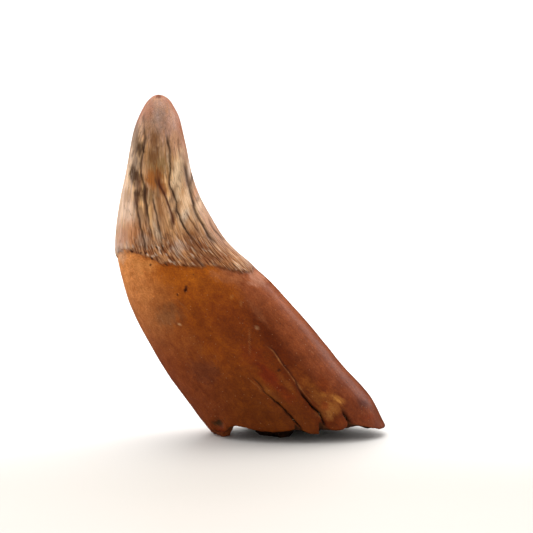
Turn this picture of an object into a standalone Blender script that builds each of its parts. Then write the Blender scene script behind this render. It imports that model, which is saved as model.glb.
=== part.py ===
"""A fossil cave bear canine, standing on the break across its root.

The tooth is one closed solid. Oval sections are stacked from the worn tip, over the enamel
crown and down the leaning root, to a ragged break with an open pulp canal. Relief is then
pressed into the skin along its normals, and the dense skin is thinned to a light solid.

Frame: +Z up, +X from the convex edge to the concave edge, -Y is the face with the three
cracks. The origin is on the ground below the middle of the tooth. Every size here is in
millimetres, and the finished mesh is scaled to metres.
"""

import math
from collections import namedtuple

import bpy
import numpy as np
from mathutils import Vector, noise

METRES = 0.001

# ---- The tooth's form ----------------------------------------------------------------------

# One oval section: where it meets the convex and the concave edge of the side view, its half
# depth, and how far its middle lies off the plane Y = 0.
Section = namedtuple("Section", "convex_x convex_z concave_x concave_z half_depth lean_y")
SECTIONS = (
    Section(-21.6, 80.0, -21.6, 80.0, 0.0, 1.4),  # worn tip
    Section(-23.6, 79.0, -19.5, 79.2, 1.9, 1.4),
    Section(-24.9, 77.3, -18.2, 77.4, 3.0, 1.3),
    Section(-26.0, 75.1, -17.1, 75.1, 3.9, 1.3),
    Section(-27.1, 71.9, -16.2, 71.9, 4.6, 1.2),
    Section(-28.1, 67.4, -15.2, 67.4, 5.2, 1.0),
    Section(-29.0, 62.3, -14.1, 62.3, 5.7, 0.8),
    Section(-30.2, 56.6, -12.2, 56.6, 6.3, 0.6),
    Section(-31.1, 51.0, -9.3, 51.0, 7.0, 0.4),
    Section(-31.6, 45.8, -5.3, 45.3, 7.9, 0.2),
    Section(-31.4, 42.2, 0.9, 39.6, 8.9, 0.1),  # foot of the crown
    Section(-30.3, 37.3, 4.7, 36.1, 9.7, 0.0),
    Section(-28.3, 30.6, 9.8, 30.7, 10.6, 0.0),
    Section(-24.6, 22.9, 16.3, 22.9, 11.3, 0.0),
    Section(-19.9, 14.8, 23.2, 14.8, 11.6, 0.0),
    Section(-14.5, 7.1, 29.1, 7.5, 11.6, 0.0),
    Section(-11.2, 2.7, 31.5, 2.7, 11.4, 0.0),
    Section(-7.4, -2.0, 34.6, -2.0, 11.2, 0.0),  # below the break, never reached
)
ROOT_TOP = 10  # the section at the foot of the crown
SQUARENESS = 0.94  # power on the section's cosine and sine: 1 is an ellipse, less is boxier
EGG = 0.08  # how much deeper the section is towards the concave edge, and shallower opposite

# ---- The break across the root -------------------------------------------------------------

# Height of the broken outer edge, by the angle round the root. 0 is the concave edge, 90 the
# back, 180 the convex edge and 270 the front. Each crack in the front opens into a notch.
BREAK_EDGE = (
    (0, 2.1),
    (10, 2.6),
    (22, 3.4),
    (34, 3.1),
    (44, 3.6),
    (54, 2.6),
    (64, 1.0),
    (72, 0.4),
    (80, 0.9),
    (86, 1.5),
    (94, 0.7),
    (103, 0.3),
    (111, 1.6),
    (118, 3.7),
    (127, 4.3),
    (136, 4.0),
    (145, 3.1),
    (154, 2.5),
    (163, 1.6),
    (172, 0.4),
    (180, 0.0),
    (188, 0.4),
    (194, 1.1),
    (201, 1.7),
    (208, 1.7),
    (216, 1.6),
    (221, 2.2),
    (225, 3.1),
    (232, 3.7),
    (238, 3.7),
    (243, 3.2),
    (250, 2.8),
    (257, 2.7),
    (263, 2.9),
    (267.5, 3.5),
    (269.5, 4.8),
    (271.5, 3.6),
    (275, 2.6),
    (278, 2.2),
    (280.5, 2.2),
    (282.5, 3.5),
    (285.5, 5.2),
    (288.5, 3.8),
    (292, 2.9),
    (297, 2.7),
    (301, 3.1),
    (304.5, 3.8),
    (306, 5.4),
    (308, 4.2),
    (318, 3.5),
    (328, 2.7),
    (338, 2.1),
    (350, 2.0),
)
# Where the fracture comes down to the ground, as ridges: both ends in plan, how far their
# slopes reach, and how far the rough face drops along them.
Foot = namedtuple("Foot", "from_x from_y to_x to_y reach drop")
FEET = (
    Foot(-8.6, 1.4, -6.5, -1.7, 3.6, 5.6),
    Foot(0.8, 6.6, 6.6, 8.4, 5.6, 5.0),
    Foot(6.6, 8.4, 15.6, 6.8, 4.4, 4.7),
    Foot(3.0, -0.8, 7.6, -2.8, 4.8, 5.4),
)
FOOT_WAVER = (4.5, 0.42, 31)  # size, share of the distance and seed of a foot's uneven outline
FRACTURE_HEIGHT = 2.9  # mean height of the rough fracture at the outer edge, between the feet
FRACTURE_RELIEF = ((7.0, 0.8, 5), (2.6, 0.5, 9))  # sizes, heights and seeds of its lumps
LEDGES = (0.42, 0.70)  # shares of the wall at which it breaks up a ledge towards the canal
LEDGE_RISE = 0.55
LEDGE_WIDTH = 0.035
LEDGE_WAVER = (7.0, 0.09, 21)  # size, share of the wall and seed of a ledge's uneven line
ARCH_X = -1.6  # an arch that runs through under the root, behind the convex edge's feet
ARCH_HALF_WIDTH = 2.4
ARCH_RISE = 1.2
LIP_SHARE = 0.16  # share of the wall over which the outer edge runs into the fracture
MOUTH_SHARE = 0.8  # share of the wall from which the fracture runs into the canal's mouth
GROUND_SNAP = 0.03  # lower than this, a point is put on the ground

# ---- The open pulp canal -------------------------------------------------------------------

CANAL_MOUTH_X = 12.4
CANAL_MOUTH_Y = 0.8
CANAL_HALF_LENGTH = 3.8
CANAL_HALF_WIDTH = 2.5
CANAL_RISE = 13.0
CANAL_SLANT = -0.66  # it leans with the root, in X for each millimetre of rise
CANAL_TAPER = 1.6  # power that sets how late the canal narrows
MOUTH_HEIGHT = 4.3

# ---- The relief ----------------------------------------------------------------------------

# Height of the enamel's edge above the ground, by the angle round the tooth.
NECK_LINE = (
    (0, 39.6),
    (20, 40.2),
    (42, 41.6),
    (66, 41.4),
    (92, 42.0),
    (118, 43.4),
    (142, 44.6),
    (164, 43.4),
    (180, 42.0),
    (188, 43.0),
    (199, 43.9),
    (215, 44.7),
    (228, 44.4),
    (237, 43.5),
    (249, 42.6),
    (254, 41.7),
    (264, 41.7),
    (274, 41.2),
    (293, 41.2),
    (303, 41.0),
    (311, 40.0),
    (332, 39.1),
    (347, 39.7),
)
ENAMEL_STEP = 0.28
ENAMEL_EDGE = 0.35
NECK_GROOVE_DEPTH = 0.18
NECK_GROOVE_WIDTH = 0.45

# Each face's marks are placed in the plane Y = 0, as (x, z), the way they look from an eye
# that far off the face and that high.
EYE_X = 3.6
EYE_DISTANCE = 495.0
EYE_HEIGHT = 109.6
FRONT, BACK = -1, 1

# A line pressed into one face, through its places from where it starts to where it ends.
Line = namedtuple("Line", "face width depth places")
FISSURES = (
    Line(FRONT, 0.45, 0.30, ((-25, 75), (-24.5, 68.5), (-25.5, 64), (-25, 58.5), (-24.5, 52), (-23, 44.5))),
    Line(FRONT, 0.40, 0.22, ((-26.5, 53.5), (-26, 49.5), (-24, 43))),
    Line(FRONT, 0.42, 0.24, ((-23, 57), (-22, 52), (-20.5, 44.5))),
    Line(FRONT, 0.42, 0.24, ((-21, 58.5), (-19, 53), (-17.5, 49.5))),
    Line(FRONT, 0.50, 0.34, ((-20, 73.5), (-19, 66), (-19, 59), (-17.5, 53.5), (-16.5, 50.5), (-12.5, 44.5))),
    Line(FRONT, 0.50, 0.32, ((-16, 64), (-14.5, 58.5), (-13.5, 54), (-10, 47.5))),
    Line(FRONT, 0.38, 0.20, ((-15.5, 54), (-13.5, 49))),
    Line(BACK, 0.48, 0.30, ((-24, 74), (-24.5, 64), (-25.5, 55), (-26.5, 44))),
    Line(BACK, 0.45, 0.26, ((-20.5, 70), (-21, 60), (-20.5, 50), (-20, 43.5))),
    Line(BACK, 0.48, 0.28, ((-18, 66), (-17, 58), (-15, 50), (-11.5, 43.5))),
    Line(BACK, 0.42, 0.22, ((-15, 58), (-12.5, 52.5), (-8.5, 46.5))),
)
CRACKS = (
    Line(FRONT, 0.32, 0.7, ((-0.5, 14), (2, 12), (3, 10), (6.5, 7), (9, 4.5), (12, 1))),
    Line(FRONT, 0.36, 0.9, ((3, 22), (7.5, 17), (11.5, 10.5), (14, 7), (16.5, 4.5), (17.5, 2))),
    Line(FRONT, 0.45, 1.2, ((21.5, 6.5), (22.5, 4.5), (24, 2))),
    Line(BACK, 0.36, 0.8, ((2, 20), (6.5, 12), (9.5, 3))),
    Line(BACK, 0.34, 0.7, ((-9.5, 14), (-5.5, 8), (-2, 3))),
)
GROOVES = (
    Line(FRONT, 4.2, 0.70, ((-1.5, 35.5), (3.5, 25), (10.5, 14), (18.5, 4))),
    Line(BACK, 4.6, 0.80, ((-4, 35), (2, 24), (10, 12), (16, 3))),
)
FADE_IN = 0.25  # share of a line over which it deepens from its start
FADE_OUT = 0.20  # share of a fissure over which it dies out at its end
# A scooped scar or pit: its face, its middle, its radius and its depth.
Scar = namedtuple("Scar", "face x z radius depth")
SCARS = (
    Scar(FRONT, -7.9, 2.0, 1.6, 0.7),
    Scar(FRONT, 1.5, 25.5, 0.7, 0.30),
    Scar(FRONT, -15.5, 34.5, 0.5, 0.30),
    Scar(BACK, -11.0, 6.0, 2.0, 0.6),
    Scar(BACK, 14.0, 14.0, 0.9, 0.3),
)
KEEL_ANGLE = 38  # a low keel runs down the back of the crown, in degrees round from +X
KEEL_HEIGHT = 0.45
KEEL_WIDTH = 9
KEEL_START = 14.0  # how far down from the tip it reaches its full height
FLUTE_COUNT = 34
FLUTE_DRIFT = 2.0  # how unevenly they are spaced, in radians of one flute
FLUTE_DEPTH = 0.07
FLUTE_REACH = 9.0  # how far the flutes rise above the enamel's edge
LUMP_SIZE = 9.0
LUMP_HEIGHT = 0.16
LUMP_SEED = 1
LUMP_START = 6.0  # how far down from the tip they reach their full height

# ---- The skin's resolution -----------------------------------------------------------------

COLUMNS = 260
SKIN_ROWS = 170
LEVEL_SHARE = 0.75  # share of the skin's rows that are level; the rest bend to the break
FRACTURE_ROWS = 22
CANAL_ROWS = 12
TRIANGLES = 9400
SHARP_ANGLE = 40  # degrees between faces above which an edge stays sharp

# ---- Material ------------------------------------------------------------------------------

TOOTH_COLOUR = (0.235, 0.075, 0.018, 1.0)
TOOTH_ROUGHNESS = 0.38


def smooth_curve(knots, values, flat_start=False):
    """A cubic spline through values at knots, as a function, natural but for a level start."""
    knots = np.asarray(knots, float)
    values = np.asarray(values, float)
    gap = np.diff(knots)
    slope = np.diff(values) / gap
    count = len(knots)
    system = np.eye(count)
    right = np.zeros(count)
    if flat_start:
        system[0, :2] = 2 * gap[0], gap[0]
        right[0] = 6 * slope[0]
    for i in range(1, count - 1):
        system[i, i - 1 : i + 2] = gap[i - 1], 2 * (gap[i - 1] + gap[i]), gap[i]
        right[i] = 6 * (slope[i] - slope[i - 1])
    bend = np.linalg.solve(system, right)

    def at(t):
        i = np.clip(np.searchsorted(knots, t) - 1, 0, count - 2)
        left, rest = t - knots[i], knots[i + 1] - t
        return (
            (bend[i] * rest**3 + bend[i + 1] * left**3) / (6 * gap[i])
            + (values[i] / gap[i] - bend[i] * gap[i] / 6) * rest
            + (values[i + 1] / gap[i] - bend[i + 1] * gap[i] / 6) * left
        )

    return at


def smoothstep(low, high, x):
    share = np.clip((x - low) / (high - low), 0, 1)
    return share * share * (3 - 2 * share)


def section_knots():
    """How far down the tooth each section lies: the mean of its way along both edges."""
    table = np.array(SECTIONS)
    steps = np.diff(table, axis=0)
    convex = np.hypot(steps[:, 0], steps[:, 1])
    concave = np.hypot(steps[:, 2], steps[:, 3])
    return np.concatenate([[0], np.cumsum((convex + concave) / 2)])


KNOTS = section_knots()
ROOT_START = KNOTS[ROOT_TOP]
CURVES = Section(
    *(
        smooth_curve(KNOTS, [section[i] for section in SECTIONS], flat_start=name.endswith("_z"))
        for i, name in enumerate(Section._fields)
    )
)


def skin_point(way, angle):
    """The smooth skin at a way down the tooth and an angle round it, as an array (..., 3)."""
    convex_x, convex_z, concave_x, concave_z, depth, lean = (curve(way) for curve in CURVES)
    across = np.sign(np.cos(angle)) * np.abs(np.cos(angle)) ** SQUARENESS
    deep = np.sign(np.sin(angle)) * np.abs(np.sin(angle)) ** SQUARENESS
    half = (1 + across) / 2
    return np.stack(
        [
            convex_x + (concave_x - convex_x) * half,
            lean + depth * deep * (1 + EGG * across),
            convex_z + (concave_z - convex_z) * half,
        ],
        axis=-1,
    )


def way_of_height(height):
    """How far down the leaning root a height above the ground lies."""
    ways = np.linspace(ROOT_START, KNOTS[-1], 400)
    heights = (CURVES.convex_z(ways) + CURVES.concave_z(ways)) / 2
    return np.interp(-height, -heights, ways)


def by_angle(table, angle):
    """The value of a table of (degrees, value) at each angle round the tooth, in radians."""
    around, values = np.array(table).T
    return np.interp(np.degrees(angle) % 360, around, values, period=360)


def lumps(points, size, seed):
    """Smooth noise from -1 to 1 at each point, with lumps about size wide."""
    shift = Vector((seed, 2 * seed, 3 * seed))
    flat = points.reshape(-1, 3) / size
    found = [noise.noise(Vector(p) + shift) for p in flat]
    return np.array(found).reshape(points.shape[:-1])


def seen_flat(points, face):
    """Where points on one face appear in the plane Y = 0 to an eye off that face, as (x, z)."""
    eye = np.array([EYE_X, EYE_HEIGHT])
    reach = EYE_DISTANCE / (EYE_DISTANCE - face * points[..., 1:2])
    return eye + (points[..., [0, 2]] - eye) * reach


def distance_to_line(flat, places):
    """In the flat view, each point's distance to the line and its share of the way along."""
    ends = np.array(places, float)
    lengths = np.hypot(*np.diff(ends, axis=0).T)
    nearest = np.full(flat.shape[:-1], np.inf)
    share = np.zeros(flat.shape[:-1])
    for i, length in enumerate(lengths):
        run = ends[i + 1] - ends[i]
        along = np.clip(((flat - ends[i]) @ run) / length**2, 0, 1)
        away = np.linalg.norm(flat - ends[i] - along[..., None] * run, axis=-1)
        closer = away < nearest
        nearest = np.where(closer, away, nearest)
        travelled = (lengths[:i].sum() + along * length) / lengths.sum()
        share = np.where(closer, travelled, share)
    return nearest, share


def on_face(marks, face):
    return [mark for mark in marks if mark.face == face]


def pressed_lines(flat, face, lines, fade_out=False):
    """Depth pressed into a face by its lines, which fade in and, if asked, out again."""
    depth = np.zeros(flat.shape[:-1])
    for line in on_face(lines, face):
        away, share = distance_to_line(flat, line.places)
        strength = smoothstep(0, FADE_IN, share)
        if fade_out:
            strength = strength * smoothstep(1, 1 - FADE_OUT, share)
        depth = np.maximum(depth, line.depth * strength * np.exp(-((away / line.width) ** 2)))
    return depth


def pressed_scars(flat, face):
    """Depth scooped out of a face by its round scars."""
    depth = np.zeros(flat.shape[:-1])
    for scar in on_face(SCARS, face):
        away = np.hypot(flat[..., 0] - scar.x, flat[..., 1] - scar.z)
        depth = np.maximum(depth, scar.depth * np.clip(1 - (away / scar.radius) ** 2, 0, 1))
    return depth


def relief(points, way, angle):
    """How far each point of the smooth skin moves out along its normal."""
    past_neck = by_angle(NECK_LINE, angle) - points[..., 2]
    crown = smoothstep(ENAMEL_EDGE, -ENAMEL_EDGE, past_neck)
    out = ENAMEL_STEP * crown
    out -= NECK_GROOVE_DEPTH * np.exp(-((past_neck / NECK_GROOVE_WIDTH) ** 2))
    flutes = smoothstep(-FLUTE_REACH, 0, past_neck) * crown
    uneven = FLUTE_COUNT * angle + FLUTE_DRIFT * np.sin(3 * angle)
    out += FLUTE_DEPTH * flutes * np.sin(uneven)
    keel = np.exp(-(((np.degrees(angle) - KEEL_ANGLE) / KEEL_WIDTH) ** 2))
    out += KEEL_HEIGHT * keel * crown * smoothstep(0, KEEL_START, way)
    for face in (FRONT, BACK):
        here = (points[..., 1] - CURVES.lean_y(way)) * face > 0
        flat = seen_flat(points, face)
        pressed = crown * pressed_lines(flat, face, FISSURES, fade_out=True)
        pressed += pressed_lines(flat, face, GROOVES) + pressed_lines(flat, face, CRACKS)
        pressed += pressed_scars(flat, face)
        out -= np.where(here, pressed, 0)
    out += LUMP_HEIGHT * lumps(points, LUMP_SIZE, LUMP_SEED) * smoothstep(0, LUMP_START, way)
    return out


def outward(points):
    """Unit normals of a grid of points whose rows run down the tooth."""
    down = np.gradient(points, axis=0)
    around = np.roll(points, -1, axis=1) - np.roll(points, 1, axis=1)
    normal = np.cross(down, around)
    length = np.linalg.norm(normal, axis=-1, keepdims=True)
    return normal / np.maximum(length, 1e-9)


def outer_skin(angles):
    """Rows of points from just below the tip to the broken edge."""
    share = np.linspace(0, 1, SKIN_ROWS + 1)[1:, None]
    end = way_of_height(by_angle(BREAK_EDGE, angles))[None, :]
    shortest = end.min()
    way = share * shortest + smoothstep(LEVEL_SHARE, 1, share) * (end - shortest)
    angle = np.broadcast_to(angles, way.shape)
    points = skin_point(way, angle)
    return points + outward(points) * relief(points, way, angle)[..., None]


def fracture_height(points, share):
    """Height of the broken face at places in plan that lie a share of the way to the canal."""
    height = np.full(points.shape[:-1], FRACTURE_HEIGHT)
    for size, rise, seed in FRACTURE_RELIEF:
        height += rise * lumps(points, size, seed)
    size, share_moved, seed = LEDGE_WAVER
    shift = share_moved * lumps(points, size, seed)
    for ledge in LEDGES:
        edge = ledge + shift
        height += LEDGE_RISE * smoothstep(edge - LEDGE_WIDTH, edge + LEDGE_WIDTH, share)
    arch = np.exp(-(((points[..., 0] - ARCH_X) / ARCH_HALF_WIDTH) ** 2))
    height += ARCH_RISE * arch
    size, share_moved, seed = FOOT_WAVER
    near = 1 + share_moved * lumps(points, size, seed)
    for foot in FEET:
        ends = ((foot.from_x, foot.from_y), (foot.to_x, foot.to_y))
        away, _ = distance_to_line(points[..., :2], ends)
        height -= foot.drop * smoothstep(foot.reach, 0, away * near)
    return height


def canal_ring(angles, rise):
    """One ring of the canal's wall: an oval that narrows as it climbs with the root."""
    narrow = math.sqrt(max(0.0, 1 - (rise / CANAL_RISE) ** CANAL_TAPER))
    x = CANAL_MOUTH_X + CANAL_SLANT * rise + CANAL_HALF_LENGTH * narrow * np.cos(angles)
    y = CANAL_MOUTH_Y + CANAL_HALF_WIDTH * narrow * np.sin(angles)
    return np.stack([x, y, np.full_like(x, MOUTH_HEIGHT + rise)], axis=-1)


def broken_face(edge, mouth):
    """Rings from inside the broken edge to just outside the canal's mouth."""
    rings = []
    for row in range(1, FRACTURE_ROWS):
        share = row / FRACTURE_ROWS
        ring = edge + (mouth - edge) * share
        level = ring * (1, 1, 0)
        rough = fracture_height(level, share)
        rough = rough + (MOUTH_HEIGHT - rough) * smoothstep(MOUTH_SHARE, 1, share)
        from_edge = smoothstep(0, LIP_SHARE, share)
        ring[:, 2] = edge[:, 2] + (rough - edge[:, 2]) * from_edge
        rings.append(ring)
    return rings


def tooth_rings():
    """Every ring of the solid in order, from the tip to the top of the canal."""
    angles = np.linspace(0, 2 * math.pi, COLUMNS, endpoint=False)
    skin = outer_skin(angles)
    mouth = canal_ring(angles, 0.0)
    rises = [CANAL_RISE * math.sin(math.pi / 2 * row / CANAL_ROWS) for row in range(1, CANAL_ROWS)]
    rings = [*skin, *broken_face(skin[-1], mouth), mouth]
    rings += [canal_ring(angles, rise) for rise in rises]
    rings = np.array(rings)
    rings[..., 2] = np.maximum(rings[..., 2], 0.0)
    return rings


def ring_mesh(name, rings, first_pole, last_pole):
    """A closed mesh of rings joined by quads, with a fan of triangles to a pole at each end."""
    count, around = rings.shape[:2]
    points = [tuple(p) for p in rings.reshape(-1, 3)] + [first_pole, last_pole]
    first, last = count * around, count * around + 1
    faces = []
    for column in range(around):
        beside = (column + 1) % around
        faces.append((first, column, beside))
        faces.append((last, (count - 1) * around + beside, (count - 1) * around + column))
        for row in range(count - 1):
            here, below = row * around, (row + 1) * around
            faces.append((here + column, below + column, below + beside, here + beside))
    mesh = bpy.data.meshes.new(name)
    mesh.from_pydata(points, [], faces)
    return mesh


def thinned(obj, triangles):
    """Replaces the object's mesh by one of about that many triangles that keeps its relief."""
    obj.data.calc_loop_triangles()
    thin = obj.modifiers.new("thin", "DECIMATE")
    thin.ratio = triangles / len(obj.data.loop_triangles)
    thin.use_collapse_triangulate = True
    graph = bpy.context.evaluated_depsgraph_get()
    obj.data = bpy.data.meshes.new_from_object(obj.evaluated_get(graph))
    obj.modifiers.clear()


def tooth_material():
    material = bpy.data.materials.new("fossil_tooth")
    material.use_nodes = True
    shader = material.node_tree.nodes["Principled BSDF"]
    shader.inputs["Base Color"].default_value = TOOTH_COLOUR
    shader.inputs["Roughness"].default_value = TOOTH_ROUGHNESS
    shader.inputs["Metallic"].default_value = 0.0
    return material


def build_tooth():
    rings = tooth_rings()
    tip = Vector(skin_point(np.array(0.0), np.array(0.0))) + Vector((0, 0, ENAMEL_STEP))
    canal_top = canal_ring(np.array([0.0]), CANAL_RISE)[0]
    mesh = ring_mesh("cave_bear_tooth", rings, tuple(tip), tuple(canal_top))
    tooth = bpy.data.objects.new("cave_bear_tooth", mesh)
    bpy.context.scene.collection.objects.link(tooth)
    thinned(tooth, TRIANGLES)
    for vertex in tooth.data.vertices:
        if vertex.co.z < GROUND_SNAP:
            vertex.co.z = 0.0
        vertex.co *= METRES
    tooth.data.materials.append(tooth_material())
    tooth.data.shade_smooth()
    tooth.data.set_sharp_from_angle(angle=math.radians(SHARP_ANGLE))
    return tooth


def main():
    for obj in list(bpy.data.objects):
        bpy.data.objects.remove(obj)
    build_tooth()


main()
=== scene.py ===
"""Dresses the fossil cave bear tooth: its skin, its break, its finishes and a small studio.

The tooth's sizes are in millimetres in its own frame: +Z up, +X from the convex edge to the
concave edge, -Y the face with the long cracks, and the origin on the ground below its middle.
Meshes are scaled to metres as they are made.
"""

import logging
import math
from collections.abc import Iterable, Mapping, Sequence
from dataclasses import dataclass
from enum import Enum
from typing import Any, NamedTuple

import bpy
import numpy as np
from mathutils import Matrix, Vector, noise


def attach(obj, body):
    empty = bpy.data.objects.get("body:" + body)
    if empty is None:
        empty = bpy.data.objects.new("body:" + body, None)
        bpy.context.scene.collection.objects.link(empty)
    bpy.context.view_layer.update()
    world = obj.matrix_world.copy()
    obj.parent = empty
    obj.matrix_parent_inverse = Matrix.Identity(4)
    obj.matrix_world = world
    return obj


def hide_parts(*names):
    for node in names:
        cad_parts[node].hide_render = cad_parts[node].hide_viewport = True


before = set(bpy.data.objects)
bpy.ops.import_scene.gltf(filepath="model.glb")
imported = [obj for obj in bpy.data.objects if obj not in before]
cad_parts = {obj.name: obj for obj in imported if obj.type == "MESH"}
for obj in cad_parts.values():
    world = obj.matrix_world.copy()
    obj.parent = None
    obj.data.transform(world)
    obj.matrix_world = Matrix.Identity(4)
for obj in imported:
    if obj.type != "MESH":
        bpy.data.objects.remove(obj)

LOG = logging.getLogger("tooth")
METRES = 0.001
PER_METRE = 1000.0
TINY = 1e-9
BODY = "root"
CAD_NODE = "cave_bear_tooth"

Array = np.ndarray
Material = bpy.types.Material
Node = bpy.types.Node
Object = bpy.types.Object
Socket = bpy.types.NodeSocket
Tree = bpy.types.NodeTree
Place = tuple[float, float]
Colour = tuple[int, int, int]
Triple = tuple[float, float, float]
Rgba = tuple[float, float, float, float]


# ---- Small tools


def ease(low: Any, high: Any, x: Any) -> Array:
    """Returns values eased from 0 at low to 1 at high, which may be lower than low."""
    share = np.clip((x - low) / (high - low), 0, 1)
    return share * share * (3 - 2 * share)


def bell(x: Any, width: float) -> Array:
    """Returns a smooth bump of height 1 at x = 0, about width wide to each side."""
    return np.exp(-((x / width) ** 2))


def lumps(points: Array, size: float, seed: float) -> Array:
    """Samples smooth noise.

    Args:
        points: Places, in an array of shape (..., 3).
        size: How wide one lump is.
        seed: Which noise it is.

    Returns:
        Values from about -1 to 1, one for each place.
    """
    shift = Vector((seed, 2 * seed, 3 * seed))
    flat = points.reshape(-1, 3) / size
    found = [noise.noise(Vector(place) + shift) for place in flat]
    return np.array(found).reshape(points.shape[:-1])


def linear(colour: Colour) -> Array:
    """Turns a display colour, 0 to 255, into linear light by the sRGB curve."""
    share = np.array(colour) / 255
    return np.where(share < 0.04045, share / 12.92, ((share + 0.055) / 1.055) ** 2.4)


def blend(under: Array, over: Array, share: Array) -> Array:
    """Lays one colour over another by a share for each point."""
    return under + (over - under) * share[..., None]


def add_object(name: str, data: Any) -> Object:
    """Makes an object and links it to the scene.

    Args:
        name: The object's name.
        data: Its mesh, light or camera.

    Returns:
        The object.
    """
    obj = bpy.data.objects.new(name, data)
    bpy.context.scene.collection.objects.link(obj)
    return obj


def aim(obj: Object, direction: Vector) -> None:
    """Turns a light or a camera to look in a direction."""
    obj.rotation_euler = direction.to_track_quat("-Z", "Y").to_euler()


class Layer(NamedTuple):
    """One layer of noise: how wide its lumps are, its share, and which noise it is."""

    size: float
    share: float
    seed: float

    def at(self, points: Array) -> Array:
        """Returns the layer's value at each place."""
        return self.share * lumps(points, self.size, self.seed)


class Streak(NamedTuple):
    """Noise drawn out down the tooth: its width and length, which noise it is, and its share."""

    wide: float
    long: float
    seed: float
    share: float = 1.0


class Wash(NamedTuple):
    """A colour that grows from nothing at one value to its full share at another."""

    colour: Colour
    start: float
    full: float
    share: float = 1.0
    sway: float = 0.0

    def mask(self, value: Array, waver: Any = 0.0) -> Array:
        """Returns its share at each value, which noise moves by the sway."""
        return self.share * ease(self.start, self.full, value + self.sway * waver)

    def over(self, under: Array, value: Array, waver: Any = 0.0) -> Array:
        """Lays the wash over a linear colour and returns the result."""
        return blend(under, linear(self.colour), self.mask(value, waver))


class Face(Enum):
    """One broad face of the tooth, by the sign of Y on it."""

    FRONT = -1
    BACK = 1


class Spline:
    """A cubic spline through values, natural but for a level start if asked."""

    def __init__(self, knots: Array, values: Sequence[float], level_start: bool) -> None:
        """Fits the curve.

        Args:
            knots: Where the values lie, rising.
            values: One value for each knot.
            level_start: Whether the curve starts level.
        """
        self.knots = knots
        self.values = np.array(values, float)
        self.gap = np.diff(knots)
        slope = np.diff(self.values) / self.gap
        count = len(knots)
        system, right = np.eye(count), np.zeros(count)
        if level_start:
            system[0, :2] = 2 * self.gap[0], self.gap[0]
            right[0] = 6 * slope[0]
        for i in range(1, count - 1):
            before, after = self.gap[i - 1], self.gap[i]
            system[i, i - 1 : i + 2] = before, 2 * (before + after), after
            right[i] = 6 * (slope[i] - slope[i - 1])
        self.bend = np.linalg.solve(system, right)

    def __call__(self, t: Array) -> Array:
        """Follows the curve.

        Args:
            t: Places along it.

        Returns:
            Its value at each place.
        """
        i = np.clip(np.searchsorted(self.knots, t) - 1, 0, len(self.knots) - 2)
        left, rest, gap = t - self.knots[i], self.knots[i + 1] - t, self.gap[i]
        cubic = (self.bend[i] * rest**3 + self.bend[i + 1] * left**3) / (6 * gap)
        near = (self.values[i] / gap - self.bend[i] * gap / 6) * rest
        far = (self.values[i + 1] / gap - self.bend[i + 1] * gap / 6) * left
        return cubic + near + far


@dataclass(frozen=True)
class AroundTable:
    """Values by the angle round the tooth: 0 concave edge, 90 back, 180 convex edge, 270 front."""

    rows: tuple[Place, ...]

    def at(self, angle: Array) -> Array:
        """Returns the value at each angle, in radians."""
        around, values = np.array(self.rows).T
        return np.interp(np.degrees(angle) % 360, around, values, period=360)


# ---- The tooth's form


class Section(NamedTuple):
    """One oval section: its ends on the two edges, its half depth and its middle's Y."""

    convex_x: float
    convex_z: float
    concave_x: float
    concave_z: float
    half_depth: float
    lean_y: float


SECTIONS = tuple(
    Section(*row)
    for row in (
        (-21.6, 80, -21.6, 80, 0, 1.4),
        (-23.6, 79, -19.5, 79.2, 1.9, 1.4),
        (-24.9, 77.3, -18.2, 77.4, 3, 1.3),
        (-26, 75.1, -17.1, 75.1, 3.9, 1.3),
        (-27.1, 71.9, -16.2, 71.9, 4.6, 1.2),
        (-28.1, 67.4, -15.2, 67.4, 5.2, 1),
        (-29, 62.3, -14.1, 62.3, 5.7, 0.8),
        (-30.2, 56.6, -12.2, 56.6, 6.3, 0.6),
        (-31.1, 51, -9.3, 51, 7, 0.4),
        (-31.6, 45.8, -5.3, 45.3, 7.9, 0.2),
        (-31.4, 42.2, 0.9, 39.6, 8.9, 0.1),
        (-30.3, 37.3, 4.7, 36.1, 9.7, 0),
        (-28.3, 30.6, 9.8, 30.7, 10.6, 0),
        (-24.6, 22.9, 16.3, 22.9, 11.3, 0),
        (-19.9, 14.8, 23.2, 14.8, 11.6, 0),
        (-14.5, 7.1, 29.1, 7.5, 11.6, 0),
        (-11.2, 2.7, 31.5, 2.7, 11.4, 0),
        (-7.4, -2, 34.6, -2, 11.2, 0),
    )
)


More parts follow.
